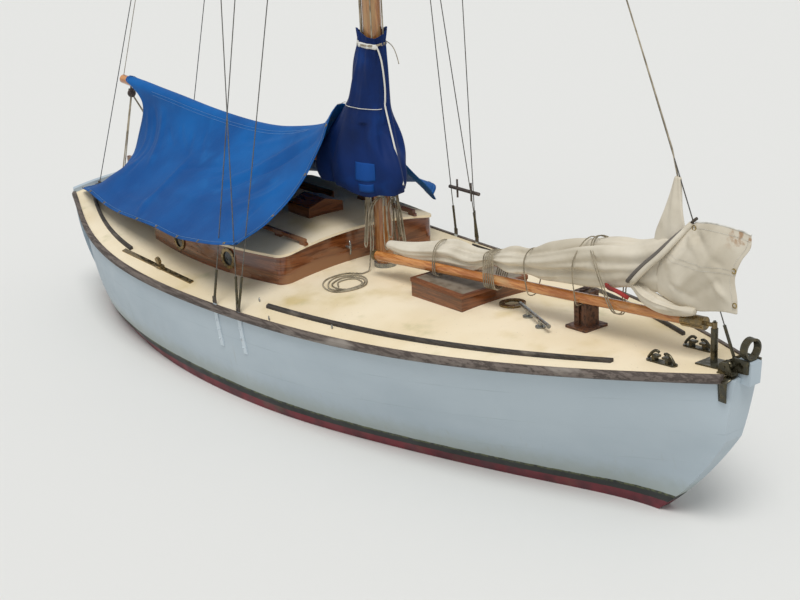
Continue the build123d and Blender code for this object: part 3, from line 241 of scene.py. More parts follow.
# Coachroof sides, coamings, hatch coaming and grab rails: mahogany under old, part-lifted varnish, which
# shows pale and dry where the weather has got under it.
def timber(name, light, dark, rough, gloss=0.0, worn=None, along=(12, 1, 1)):
    """Wood with its figure 26 mm across and drawn out along the grain, varnish by gloss, and bare patches."""
    made, tree, shader, where = finish(name, light, rough)
    figure = patches(tree, where, 26, 5, 0.65, stretch=along)
    rings = sums(tree, "PINGPONG", sums(tree, "MULTIPLY", figure, 7.0), 1.0)
    wood = mixed(tree, between(tree, rings, 0.1, 0.9), light, dark)
    wood = mixed(tree, sums(tree, "MULTIPLY", between(tree, patches(tree, where, 350, 3), 0.4, 0.75), 0.5),
                 wood, dark)
    if worn:
        bare = between(tree, patches(tree, where, 130, 5, seed=4.0, stretch=tuple(1 + s / 4 for s in along)),
                       0.56, 0.70)
        wood = mixed(tree, bare, wood, worn)
        if gloss:
            paint_over(tree, shader, between(tree, bare, -0.3, 1.3), "Roughness")
    paint_over(tree, shader, wood)
    shader.inputs["Coat Weight"].default_value = gloss
    shader.inputs["Coat Roughness"].default_value = 0.16
    raised(tree, shader, figure, 0.5)
    return made


mahogany = timber("varnished_mahogany", "#7E4724", "#5A2E14", 0.32, 0.45, "#8E6442", along=(14, 14, 1))
dress(mahogany, "coachroof_sides", "coamings", "skylight", "slide_runners", "drop_boards",
      "forehatch_coaming", "tiller", "grab_rails")

# Cockpit boards: teak, its varnish gone and turning silver.
teak = timber("bare_teak", "#8B6B4A", "#5E4630", 0.7, 0.0, "#9C9080")
dress(teak, "cockpit_boards")

# Rubbing strakes and boom block: hardwood gone grey-brown, with a little dark varnish left in patches. The
# toe rails on deck are the same wood under old dark paint, greyed where it has worn through.
old_wood = timber("weathered_hardwood", "#6E635B", "#453B35", 0.7, 0.0, "#8A8178")
dress(old_wood, "rubbing_strakes", "boom_block")
rail_wood = timber("greyed_rail_paint", "#463F39", "#2E2A26", 0.7, 0.0, "#857C70")
dress(rail_wood, "toe_rails")

# Spars: varnished spruce, the grain up the mast and fore and aft along both booms.
mast_wood = timber("varnished_spruce_mast", "#AE7A49", "#8A572E", 0.35, 0.5, "#A8895F", along=(1, 1, 14))
dress(mast_wood, "mast", "spreaders")
boom_wood = timber("varnished_spruce_boom", "#CE8E50", "#A8642C", 0.33, 0.5, "#C9A778", along=(14, 1, 1))
dress(boom_wood, "boom", "jib_boom")

# Forehatch lid: a mahogany frame round a panel, whose grey paint is wearing through to the wood.
lid_wood, tree, shader, where = finish("worn_grey_hatch_paint", "#7F7466", 0.6)
lid_x, lid_top, panel_half_long, panel_half_wide = 1.065, 1.010, 0.237, 0.251
x, y, z = node(tree, "ShaderNodeSeparateXYZ", {0: where}).outputs
panel = between(tree, z, lid_top - 0.0005, lid_top + 0.0005, False)
for off, half in ((sums(tree, "SUBTRACT", x, lid_x), panel_half_long), (y, panel_half_wide)):
    inside = between(tree, sums(tree, "ABSOLUTE", off), half + 0.001, half - 0.001, False)
    panel = sums(tree, "MULTIPLY", panel, inside)
grain = patches(tree, where, 24, 5, 0.6, stretch=(12, 12, 1))
wood = mixed(tree, between(tree, grain, 0.35, 0.65), "#5A2E14", "#85502C")
worn = mixed(tree, between(tree, patches(tree, where, 55, 5), 0.4, 0.7), "#837868", "#6A5D4C")
paint_over(tree, shader, mixed(tree, panel, wood, worn))
raised(tree, shader, grain, 0.5)
dress(lid_wood, "forehatch_lid")


# Bronze fittings: portlight rims, rudder irons, boom fork, tracks and cars, rubbed bright on their edges,
# brown and a little green in their corners.
def metal(name, clean, stained, rough, share=0.6, mm=30, metallic=0.85):
    """Cast or drawn metal with stains that dull it."""
    made, tree, shader, where = finish(name, clean, rough, metallic)
    stain = sums(tree, "MULTIPLY", between(tree, patches(tree, where, mm, 5), 0.4, 0.65), share)
    paint_over(tree, shader, mixed(tree, stain, clean, stained))
    paint_over(tree, shader, between(tree, stain, 1.0 - 2.2 * rough, 2.0 - rough, False), "Roughness")
    paint_over(tree, shader, sums(tree, "SUBTRACT", metallic, sums(tree, "MULTIPLY", stain, 0.8)), "Metallic")
    raised(tree, shader, patches(tree, where, 9, 3), 0.3)
    return made


bronze = metal("aged_bronze", "#8B7650", "#4C4636", 0.42)
dress(bronze, "rudder_irons", "gudgeons", "portlight_rims", "boom_fork", "jib_boom_iron", "chain_pipe",
      "sheet_tracks", "track_cars", "quarter_fittings")

# Stemhead casting, its ring and roller, the fairleads and the rigging screws: bronze and iron gone near black.
dark_bronze = metal("weathered_stemhead_bronze", "#57513F", "#35352B", 0.55, 0.8)
dress(dark_bronze, "stem_fitting", "gammon_ring", "bow_roller", "fairleads", "rigging_screws")

# Bar cleat and mast bands: hot-dipped iron, its zinc dull grey and dirty in patches.
zinc = metal("galvanised_iron", "#9A9C99", "#6C675C", 0.5)
dress(zinc, "bar_cleat", "mast_bands")

# Standing rigging: galvanised wire, dark with old grease.
wire_finish = metal("rigging_wire", "#6C6C68", "#4A4138", 0.5, 0.8)
dress(wire_finish, "stays")

# Samson post: iron, brown with rust all over.
rusty = metal("rusty_post_iron", "#6B4630", "#3C2A20", 0.8, 0.9, 24, 0.25)
dress(rusty, "samson_post")


# Topping lift: three-strand cordage gone grey and a little hairy, as all the running rigging here is. Its
# hairs are drawn 2.5 mm apart, coarser than they are, so that they show.
def cordage(name, base, dirt):
    """Rope or twine, with dirt worked into its lay."""
    made, tree, shader, where = finish(name, base, 0.85)
    paint_over(tree, shader, mixed(tree, between(tree, patches(tree, where, 60), 0.35, 0.75), base, dirt))
    raised(tree, shader, patches(tree, where, 2.5, 3), 0.4)
    return made


rope_finish = cordage("grey_laid_rope", "#A79C86", "#6F6552")
dress(rope_finish, "topping_lift")

# Chainplates: straps bolted outside the planking and painted over with it; their ends above the rail are
# bare iron gone dark.
strap_paint, tree, shader, where = finish("painted_strap", "#C9D3D8", 0.5)
rail_height = 0.744
bleed = between(tree, patches(tree, where, 40, 4, stretch=(1, 1, 4)), 0.58, 0.75)
above_rail = between(tree, node(tree, "ShaderNodeSeparateXYZ", {0: where}).outputs[2], rail_height - 0.006,
                     rail_height + 0.006)
paint_over(tree, shader, mixed(tree, above_rail, mixed(tree, bleed, "#C6D1D7", "#8A7762"), "#4B4238"))
raised(tree, shader, patches(tree, where, 18, 3), 0.5)
dress(strap_paint, "chainplates")

# Portlight glass: opaque, its dark colour a painted shade of the unlit cabin behind it, with a film of salt.
glass, tree, shader, where = finish("salted_glass", "#1B2225", 0.12)
salt = between(tree, patches(tree, where, 25, 4), 0.4, 0.8)
# Painted shade: the dark base stands for the cabin seen through the glass; the paler patches are salt.
paint_over(tree, shader, mixed(tree, salt, "#161B1E", "#4A5254"))
raised(tree, shader, patches(tree, where, 60, 2), 0.2)
dress(glass, "portlight_glass")


# Cockpit tent: one blue proofed sheet over the boom, hauled down along both quarters and up to the mast. It
# has a doubled, machine-sewn hem with brass eyelets and a sewn seam each side of the boom; its folds are
# pressed into the sheet along the lines on which the real cloth pulls.
def even(points, step=None, count=None):
    """The same line with its points evenly spaced."""
    p = np.array(points, float)
    run = np.r_[0, np.cumsum(np.linalg.norm(np.diff(p, axis=0), axis=1))]
    count = count or max(2, int(run[-1] / step) + 1)
    spots = np.linspace(0, run[-1], count)
    return np.column_stack([np.interp(spots, run, p[:, k]) for k in range(p.shape[1])])


def through(points, count):
    """So many points, evenly spaced, on a smooth curve through the given ones."""
    p = np.array(points, float)
    p = np.vstack([2 * p[0] - p[1], p, 2 * p[-1] - p[-2]])
    t = np.linspace(0, 1, 20, endpoint=False)[:, None]
    dense = [0.5 * (2 * p[i] + (p[i + 1] - p[i - 1]) * t
                    + (2 * p[i - 1] - 5 * p[i] + 4 * p[i + 1] - p[i + 2]) * t ** 2
                    + (3 * p[i] - p[i - 1] - 3 * p[i + 1] + p[i + 2]) * t ** 3)
             for i in range(1, len(p) - 2)]
    return even(np.vstack(dense + [p[-2]]), count=count)


def spread(sections, across, along):
    """A grid of points on the smooth surface through some sections: along by across by 3."""
    ribs = np.array([through(s, across) for s in sections])
    return np.stack([through(ribs[:, k], along) for k in range(across)], axis=1)


def outward(grid):
    """The way that each point of a grid faces."""
    ways = np.cross(np.gradient(grid, axis=1), np.gradient(grid, axis=0))
    return ways / np.maximum(np.linalg.norm(ways, axis=2), 1e-12)[..., None]


def folded(grid, folds):
    """Presses folds into a grid: each is a height and a width in m, and the line that it follows."""
    shape, ways = grid.copy(), outward(grid)
    steps, fade, deeper = 40, 7, 1.5
    middle = (steps - 1) / 2
    for height, width, *line in folds:
        gaps = np.linalg.norm(grid[:, :, None] - through(line, steps), axis=3)
        ends = np.clip((middle - np.abs(gaps.argmin(axis=2) - middle)) / fade, 0, 1)
        shape += ways * (deeper * height * ends * np.exp(-(gaps.min(axis=2) / width) ** 2))[..., None]
    return shape


def grid_piece(name, grid, material, body, closed=False):
    """A mesh over a grid of points; closed joins its last column to the first."""
    along, across = grid.shape[:2]
    wide = across if closed else across - 1
    faces = [(i * across + j, i * across + (j + 1) % across, (i + 1) * across + (j + 1) % across,
              (i + 1) * across + j) for i in range(along - 1) for j in range(wide)]
    return mesh_piece(name, grid.reshape(-1, 3), faces, material, body)


def fabric(name, base, shade, rough, sheen, faded=None, weave=1.4):
    """Woven cloth: two crossing rows of threads weave mm apart, a soft sheen, faded and stained patches."""
    made, tree, shader, where = finish(name, base, rough)
    tone = mixed(tree, between(tree, patches(tree, where, 380, 4), 0.3, 0.72), base, shade)
    if faded:
        tone = mixed(tree, sums(tree, "MULTIPLY", between(tree, patches(tree, where, 210, 5, seed=6.0),
                                                          0.52, 0.8), 0.7), tone, faded)
    paint_over(tree, shader, tone)
    shader.inputs["Sheen Weight"].default_value = sheen
    shader.inputs["Sheen Roughness"].default_value = 0.5
    shader.inputs["Specular IOR Level"].default_value = 0.2
    threads, picks = [node(tree, "ShaderNodeTexWave", {"Vector": where, "Scale": 1000 / (6.28 * weave)},
                           wave_type="BANDS", bands_direction=way).outputs[1] for way in ("X", "DIAGONAL")]
    woven = raised(tree, shader, sums(tree, "MULTIPLY", threads, picks), 0.12)
    raised(tree, shader, patches(tree, where, 45, 4), 1.6, woven)
    return made


def finished(piece):
    """Makes a piece's modifiers part of its mesh."""
    shape = bpy.data.meshes.new_from_object(piece.evaluated_get(bpy.context.evaluated_depsgraph_get()))
    piece.modifiers.clear()
    old = piece.data
    piece.data = shape
    bpy.data.meshes.remove(old)
    piece.data.polygons.foreach_set("use_smooth", [True] * len(piece.data.polygons))
    return piece


def thicken(piece, mm, rounds=1):
    """Turns a cloth surface into a sheet of real thickness, once subdivided."""
    if rounds:
        made = piece.modifiers.new("subsurf", "SUBSURF")
        made.levels = made.render_levels = rounds
    made = piece.modifiers.new("solidify", "SOLIDIFY")
    made.thickness = mm / 1000
    made.offset = 0
    return finished(piece)


def joined(piece, *others):
    """Takes other pieces into one, with their materials."""
    whole = bmesh.new()
    whole.from_mesh(piece.data)
    for other in others:
        had = len(whole.faces)
        whole.from_mesh(other.data)
        whole.faces.ensure_lookup_table()
        for face in whole.faces[had:]:
            face.material_index += len(piece.data.materials)
        for material in other.data.materials:
            piece.data.materials.append(material)
        bpy.data.objects.remove(other)
    whole.to_mesh(piece.data)
    whole.free()
    return piece


def node_tree(name, **sizes):
    """A Geometry Nodes tree with a mesh in, named sizes and a material; gives its sockets and its end."""
    tree = bpy.data.node_groups.new(name, "GeometryNodeTree")
    tree.interface.new_socket("Geometry", in_out="OUTPUT", socket_type="NodeSocketGeometry")
    tree.interface.new_socket("Geometry", in_out="INPUT", socket_type="NodeSocketGeometry")
    for label, value in sizes.items():
        tree.interface.new_socket(label.replace("_", " "), in_out="INPUT",
                                  socket_type="NodeSocketFloat").default_value = value
    tree.interface.new_socket("Finish", in_out="INPUT", socket_type="NodeSocketMaterial")
    given = node(tree, "NodeGroupInput").outputs

    def close(points, shape, turn):
        """Puts the shape on each point, made real and given the material."""
        placed = node(tree, "GeometryNodeInstanceOnPoints",
                      {"Points": points, "Instance": shape, "Rotation": turn}).outputs[0]
        real = node(tree, "GeometryNodeRealizeInstances", {0: placed}).outputs[0]
        node(tree, "NodeGroupOutput", {0: node(
            tree, "GeometryNodeSetMaterial", {"Geometry": real, "Material": given["Finish"]}).outputs[0]})
    return tree, given, close


def grown(name, points, tree, body=None, edges=(), ways=None, **sizes):
    """The plain mesh that a Geometry Nodes tree makes on some points, which may be joined by edges."""
    mesh = bpy.data.meshes.new(name)
    mesh.from_pydata([tuple(float(c) for c in p) for p in points], edges, [])
    if ways is not None:
        mesh.attributes.new("way", "FLOAT_VECTOR", "POINT").data.foreach_set(
            "vector", np.array(ways, float).ravel())
    piece = bpy.data.objects.new(name, mesh)
    scene.collection.objects.link(piece)
    made = piece.modifiers.new("grow", "NODES")
    made.node_group = tree
    for socket in tree.interface.items_tree:
        if socket.name in sizes:
            made[socket.identifier] = sizes[socket.name]
    finished(piece)
    if body:
        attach(piece, body)
    return piece


# Stitches of the seams: short threads laid end to end, a little thicker than real so that they show.
stitch_tree, given, close = node_tree("stitches", Spacing=0.012, Length=0.008, Thread=0.0022)
seam_points = node(stitch_tree, "GeometryNodeCurveToPoints", {
    "Curve": node(stitch_tree, "GeometryNodeMeshToCurve", {0: given["Geometry"]}).outputs[0],
    "Length": given["Spacing"]}, mode="LENGTH")
thread = node(stitch_tree, "GeometryNodeMeshCylinder", {
    "Vertices": 4, "Radius": sums(stitch_tree, "MULTIPLY", given["Thread"], 0.5), "Depth": given["Length"]})
close(seam_points.outputs["Points"], thread.outputs[0], seam_points.outputs["Rotation"])


def stitched(name, seams, material):
    """Stitches along each of some lines of points."""
    edges, first = [], 0
    for seam in seams:
        edges += [(first + k, first + k + 1) for k in range(len(seam) - 1)]
        first += len(seam)
    return grown(name, np.vstack(seams), stitch_tree, edges=edges, Finish=material)


# Eyelets in the hems: pressed rings, each on a point and facing along the point's own way.
upright = "FunctionNodeAlignRotationToVector"
eyelet_tree, given, close = node_tree("eyelets", Radius=0.010, Wire=0.0025)
ring = node(eyelet_tree, "GeometryNodeCurveToMesh", {
    "Curve": node(eyelet_tree, "GeometryNodeCurvePrimitiveCircle",
                  {"Resolution": 16, "Radius": given["Radius"]}).outputs[0],
    "Profile Curve": node(eyelet_tree, "GeometryNodeCurvePrimitiveCircle",
                          {"Resolution": 6, "Radius": given["Wire"]}).outputs[0]}).outputs[0]
way = node(eyelet_tree, "GeometryNodeInputNamedAttribute", {"Name": "way"}, data_type="FLOAT_VECTOR").outputs[0]
close(given["Geometry"], ring, node(eyelet_tree, upright, {"Vector": way}, axis="Z").outputs[0])

# Proofed cotton: a dull, close weave, with painted shade that darkens it towards the skirt.
tent_cloth = fabric("blue_proofed_tent_cloth", "#015CA2", "#014A8B", 0.6, 0.0, "#1069AE")
tree = tent_cloth.node_tree
height = node(tree, "ShaderNodeSeparateXYZ", {0: tree.nodes["Texture Coordinate"].outputs["Object"]}).outputs[2]
shader = tree.nodes["Principled BSDF"]
# Painted shade: the cloth's colour is mixed towards a darker blue from 1.5 m down to 1.0 m.
paint_over(tree, shader, mixed(tree, sums(tree, "MULTIPLY", between(tree, height, 1.50, 1.0), 0.55),
                               shader.inputs["Base Color"].links[0].from_socket, "#013F7E"))
hem_cloth = fabric("doubled_blue_hem", "#015297", "#014580", 0.6, 0.0)
thread_finish, tree, shader, where = finish("pale_sail_thread", "#7FA3C9", 0.8)
raised(tree, shader, patches(tree, where, 2.5, 2), 0.2)
brass = metal("pressed_brass", "#A08748", "#5B4E31", 0.4)


def boom_top(x):
    """The height of the boom's upper edge, which rises towards its after end."""
    return 1.503 - 0.0633 * (x + 0.011) + 0.047


# Sections from the mast to the boom's end: the ridge's x and z, and the starboard flank from skirt to ridge.
# The port flank is the same, mirrored.
ridge = [(-0.262, 1.958), (-0.425, 1.805), (-0.91, 1.700), (-1.35, 1.662), (-1.9, boom_top(-1.9) + 0.004),
         (-2.5, boom_top(-2.5)), (-2.95, boom_top(-2.95)), (-3.345, 1.765)]
flank = [
    [(-0.045, -1.055, 1.225), (-0.02, -0.84, 1.318), (-0.045, -0.66, 1.405), (-0.07, -0.54, 1.478),
     (-0.10, -0.42, 1.565), (-0.125, -0.32, 1.672), (-0.145, -0.24, 1.765), (-0.17, -0.185, 1.838),
     (-0.205, -0.12, 1.905)],
    [(-0.345, -1.078, 1.172), (-0.37, -0.86, 1.262), (-0.39, -0.64, 1.372), (-0.40, -0.46, 1.48),
     (-0.41, -0.32, 1.585), (-0.42, -0.20, 1.69), (-0.425, -0.12, 1.755), (-0.425, -0.05, 1.795)],
    [(-0.905, -1.01, 1.075), (-0.91, -0.84, 1.17), (-0.915, -0.62, 1.295), (-0.915, -0.42, 1.415),
     (-0.915, -0.25, 1.53), (-0.913, -0.12, 1.63), (-0.912, -0.05, 1.683)],
    [(-1.40, -0.95, 1.045), (-1.39, -0.80, 1.13), (-1.38, -0.59, 1.25), (-1.365, -0.40, 1.365),
     (-1.355, -0.23, 1.49), (-1.35, -0.11, 1.59), (-1.35, -0.052, 1.645)],
    [(-1.93, -0.885, 1.0), (-1.93, -0.74, 1.08), (-1.92, -0.55, 1.19), (-1.91, -0.36, 1.32),
     (-1.90, -0.20, 1.46), (-1.90, -0.10, 1.57), (-1.90, -0.054, 1.645)],
    [(-2.50, -0.795, 0.955), (-2.50, -0.655, 1.01), (-2.50, -0.475, 1.10), (-2.50, -0.30, 1.25),
     (-2.50, -0.16, 1.43), (-2.50, -0.085, 1.57), (-2.50, -0.054, 1.68)],
    [(-2.93, -0.71, 0.945), (-2.93, -0.56, 0.965), (-2.92, -0.37, 1.03), (-2.91, -0.22, 1.16),
     (-2.90, -0.13, 1.33), (-2.89, -0.085, 1.50), (-2.90, -0.066, 1.60), (-2.93, -0.057, 1.70)],
    [(-3.235, -0.62, 0.925), (-3.245, -0.42, 0.915), (-3.17, -0.30, 0.945), (-3.15, -0.20, 1.0),
     (-3.14, -0.14, 1.125), (-3.10, -0.10, 1.30), (-3.03, -0.078, 1.49), (-3.06, -0.064, 1.60),
     (-3.20, -0.057, 1.68), (-3.335, -0.05, 1.735)],
]
sections = [side + [(rx, 0, rz)] + [(px, -py, pz) for px, py, pz in side[::-1]]
            for (rx, rz), side in zip(ridge, flank)]
across, along, tent_length = 97, 101, 3.3

# The cloth's starboard half as the camera sees it, to look up what lies under a pixel of the photograph.
picture_wide, picture_high, lookup_rows = 800, 600, 121
starboard_cloth = spread(sections, across, lookup_rows).reshape(-1, 3)
starboard_cloth = starboard_cloth[starboard_cloth[:, 1] <= 0]
off = starboard_cloth - np.array(camera_place)
spread_out = camera.data.lens / camera.data.sensor_width * picture_wide / (off @ np.array(ahead))
cloth_pixels = np.column_stack([picture_wide / 2 + spread_out * (off @ np.array(right)),
                                picture_high / 2 + spread_out * (off @ np.array(down))])


def on_cloth(pixel):
    """The point of the starboard cloth, to the centimetre, that the camera sees nearest to a pixel."""
    return np.round(starboard_cloth[np.linalg.norm(cloth_pixels - pixel, axis=1).argmin()], 2)


# Creases, each with its height and its width in metres and the pixels along which the cloth pulls, read
# in the photograph's frame of 800 by 600; port mirrors starboard.
crease_pixels = [
    (-0.009, 0.020, (181.6, 167.3), (204.0, 168.2), (228.1, 168.5)),
    (-0.007, 0.018, (198.8, 173.3), (216.0, 174.7), (228.1, 173.3)),
    (-0.016, 0.026, (210.9, 188.8), (231.5, 184.5), (252.2, 177.6), (272.9, 167.3), (295.3, 152.7),
     (314.2, 140.6), (326.2, 130.3)),
    (0.012, 0.030, (214.3, 184.5), (241.9, 175.0), (269.4, 161.3), (295.3, 146.6), (321.1, 130.3)),
    (-0.008, 0.020, (241.9, 138.9), (259.1, 139.7), (274.6, 136.3)),
    (0.008, 0.025, (245.3, 147.5), (269.4, 144.0), (295.3, 136.3), (321.1, 126.0)),
    (0.012, 0.035, (191.9, 156.1), (176.4, 171.6), (160.9, 188.8), (143.7, 206.0), (136.8, 216.4)),
    (0.010, 0.040, (164.4, 188.8), (191.9, 197.8), (216.0, 205.2), (238.4, 211.2)),
    (-0.006, 0.014, (169.5, 126.8), (171.3, 138.9), (173.9, 149.2)),
    (-0.006, 0.014, (181.6, 121.7), (183.3, 138.9), (188.9, 156.1)),
    (-0.006, 0.014, (193.7, 130.3), (190.2, 144.0), (187.1, 159.5)),
    (-0.006, 0.014, (207.4, 126.8), (201.4, 145.8), (204.0, 154.4)),
    (0.010, 0.030, (148.9, 104.4), (149.7, 126.8), (146.3, 145.8), (136.8, 164.7), (123.1, 181.9)),
    (-0.012, 0.025, (154.0, 104.4), (155.8, 126.8), (151.5, 149.2), (140.3, 169.9), (124.8, 187.1)),
    (0.010, 0.030, (162.7, 106.2), (162.7, 126.8), (157.5, 152.7), (147.2, 173.3)),
    (0.010, 0.035, (104.1, 190.5), (124.8, 199.2), (148.9, 205.2)),
    (-0.008, 0.022, (228.1, 198.3), (245.3, 194.8), (266.0, 187.1), (283.2, 175.0)),
    (0.009, 0.025, (231.5, 206.0), (252.2, 200.9), (272.9, 190.5), (290.1, 176.8)),
    (-0.009, 0.022, (237.6, 240.5), (241.9, 225.0), (252.2, 211.2), (269.4, 197.4)),
    (-0.008, 0.020, (235.0, 238.8), (231.5, 225.0), (226.4, 211.2)),
]
creases = [(height, width, *[on_cloth(pixel) for pixel in line]) for height, width, *line in crease_pixels]
creases += [(0.85 * height, 1.15 * width, *[(px - 0.03, -py, pz) for px, py, pz in line])
            for height, width, *line in creases]
tent_grid = folded(spread(sections, across, along), creases)
# The port fore corner is hauled lower and inboard; the skirt is lifted over the tiller's swing at both sides.
port_pull = np.clip((tent_grid[..., 1] - 0.12) / 0.935, 0, 1) ** 1.5 * np.exp(
    -((tent_grid[..., 0] + 0.045) / 0.35) ** 2)
tent_grid += port_pull[..., None] * np.array((-0.255, -0.213, -0.148))
for lift, lift_x, long, lift_y, wide in ((0.115, -2.71, 0.32, 0.48, 0.23), (0.075, -3.10, 0.19, 0.25, 0.13)):
    tent_grid[..., 2] += lift * np.exp(-((tent_grid[..., 0] - lift_x) / long) ** 2
                                       - ((np.abs(tent_grid[..., 1]) - lift_y) / wide) ** 2)
for i in range(along):
    for j in range(across):
        px, py, pz = tent_grid[i, j]
        loose = min(1, abs(j - across // 2) / 12)
        tent_grid[i, j, 2] += 0.006 * loose * noise.noise((px * 3.1, py * 4.0, pz * 4.0))
ways = outward(tent_grid)
tent = thicken(grid_piece("cockpit_tent_sheet", tent_grid, tent_cloth, None), 2)
hem_proud, thread_proud = 0.0022, 0.0014
proud = tent_grid + hem_proud * ways
hems = [thicken(grid_piece("hem", strip, hem_cloth, None), 1.6, 0)
        for strip in (proud[:, :2], proud[:, -2:], proud[:2], proud[-2:])]
seams = [proud[:, 1] + thread_proud * ways[:, 1], proud[:, -2] + thread_proud * ways[:, -2],
         proud[1] + thread_proud * ways[1], proud[-2] + thread_proud * ways[-2],
         proud[12:87, 45], proud[12:87, 51], proud[12:87, 44], proud[12:87, 52]]
tent_threads = stitched("tent_threads", seams, thread_finish)
eyelet_spots, eyelet_ways = [], []
for i, j in [(i, j) for i in range(4, along, 12) for j in (0, across - 1)] + [
        (0, j) for j in (12, 26, 40, 56, 70, 84)]:
    inboard = 1 if j == 0 else across - 2 if j == across - 1 else j
    eyelet_spots.append(tent_grid[min(i + 1, along - 2), j] * 0.5 + tent_grid[i, inboard] * 0.5
                        + 0.004 * ways[i, j])
    eyelet_ways.append(ways[i, j])
tent_eyelets = grown("tent_eyelets", eyelet_spots, eyelet_tree, ways=eyelet_ways, Finish=brass)
joined(tent, *hems, tent_threads, tent_eyelets)
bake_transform(tent)
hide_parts("cockpit_tent")


# Mast and gooseneck cover: navy cloth wrapped round the mast, its heel and the halyards. It is gathered into
# pleats under a white strap, laced down its fore side and mended with two lighter patches.
def route(points, order=3):
    """Points along the smooth line that has the given control points."""
    curve = bpy.data.curves.new("route", "CURVE")
    curve.dimensions = "3D"
    spline = curve.splines.new("NURBS")
    spline.points.add(len(points) - 1)
    for spot, place in zip(spline.points, points):
        spot.co = (*place, 1)
    spline.order_u = order
    spline.use_endpoint_u = True
    holder = bpy.data.objects.new("route", curve)
    mesh = bpy.data.meshes.new_from_object(holder)
    line = [tuple(v.co) for v in mesh.vertices]
    bpy.data.objects.remove(holder)
    bpy.data.meshes.remove(mesh)
    bpy.data.curves.remove(curve)
    return line


def twisted(line, offset, radius, pitch, turns_from, sides=6):
    """A tube that winds round the line at an offset, with its own radius: one strand of a rope."""
    along = np.gradient(line, axis=0)
    along /= np.linalg.norm(along, axis=1)[:, None]
    side = np.cross(along[0], (0.3, 0.2, 1.0))
    run = np.r_[0, np.cumsum(np.linalg.norm(np.diff(line, axis=0), axis=1))]
    points, faces = [], []
    for k, (place, way) in enumerate(zip(line, along)):
        side = side - way * np.dot(side, way)
        side /= np.linalg.norm(side)
        other = np.cross(way, side)
        turn = 2 * math.pi * (run[k] / pitch + turns_from) if pitch else 0
        centre = place + offset * (math.cos(turn) * side + math.sin(turn) * other)
        for j in range(sides):
            a = 2 * math.pi * j / sides
            points.append(centre + radius * (math.cos(a) * side + math.sin(a) * other))
        if k:
            for j in range(sides):
                m = (k - 1) * sides
                n = (j + 1) % sides
                faces.append((m + j, m + n, m + n + sides, m + j + sides))
    last = len(points) - sides
    faces.append(tuple(range(sides))[::-1])
    faces.append(tuple(range(last, last + sides)))
    return points, faces


def rope(name, points, mm, material=rope_finish, body="hull", laid=True, order=3):
    """A rope along a smooth line: three twisted strands, or where it isn't laid one round bar or braid."""
    size = mm / 1000
    line = route(points, order) if len(points) > 2 else points
    points, faces = [], []
    for k in range(3 if laid else 1):
        got, sides = twisted(even(line, 0.9 * size if laid else max(0.012, size)),
                             0.27 * size if laid else 0, (0.25 if laid else 0.5) * size,
                             7 * size if laid else 0, k / 3, 6 if laid else 8)
        faces += [tuple(i + len(points) for i in f) for f in sides]
        points += got
    return mesh_piece(name, points, faces, material, body), line


cover_cloth = fabric("navy_cover_cloth", "#03265F", "#021A46", 0.6, 0.0, "#06377A")
mend_cloth = fabric("faded_blue_mend", "#0B4389", "#083A7A", 0.65, 0.0)
# Rows from the skirt up: height, centre fore and aft, half length and half width.
rows = [(1.43, -0.015, 0.395, 0.185), (1.50, -0.02, 0.410, 0.198), (1.62, -0.02, 0.395, 0.193),
        (1.76, -0.01, 0.325, 0.175), (1.85, 0.015, 0.270, 0.155), (1.93, 0.045, 0.222, 0.135),
        (2.05, 0.085, 0.175, 0.112), (2.20, 0.110, 0.146, 0.098), (2.32, 0.130, 0.126, 0.090),
        (2.385, 0.142, 0.114, 0.086), (2.44, 0.152, 0.102, 0.082), (2.465, 0.155, 0.105, 0.087),
        (2.50, 0.158, 0.112, 0.094)]
cover_rows, cover_columns, cover_length = 80, 120, 1.2
skirt_height, neck_height, ear_height = 1.43, 2.44, 2.45
profile = through(rows, cover_rows)
cover_grid = np.zeros((cover_rows, cover_columns, 3))
for i, (high, centre, half, wide) in enumerate(profile):
    neck = math.exp(-((high - neck_height) / 0.16) ** 2)
    ear = max(0, high - ear_height) / 0.05
    for j in range(cover_columns):
        a = 2 * math.pi * j / cover_columns
        fold = 0.010 * neck * math.sin(17 * a + 0.7 * math.sin(3 * a)) + 0.008 * neck * math.sin(11 * a + 1)
        fold += (1 - neck) * (0.013 * math.sin(5 * a + 5.5 * high) + 0.010 * math.sin(8 * a - 7.1 * high + 1)
                              + 0.005 * math.sin(13 * a + 9 * high))
        fold += 0.020 * noise.noise((2.6 * math.cos(a), 2.6 * math.sin(a), high * 3.2))
        swell = max(1 + fold / 0.2, 0.975 if high > 1.9 else 0)
        sit = high + 0.030 * ear * math.cos(2 * (a - 0.93))
        sit += 0.016 * max(0, 1 - (high - skirt_height) / 0.1) * math.sin(3 * a + 1)
        cover_grid[i, j] = (centre + half * swell * math.cos(a), wide * swell * math.sin(a), sit)
cover_ways = outward(cover_grid)


def on_cover(high, degrees, proud=0.004):
    """A point on the cover at a height, at an angle from the bow, so far proud of the cloth."""
    skin = cover_grid + proud * cover_ways
    row = np.interp(high, profile[:, 0], range(cover_rows))
    column = degrees * cover_columns / 360 % cover_columns
    i, j = min(int(row), cover_rows - 2), int(column)
    u, v, k = row - i, column - j, (j + 1) % cover_columns
    lower, upper = ((1 - v) * skin[r, j] + v * skin[r, k] for r in (i, i + 1))
    return (1 - u) * lower + u * upper


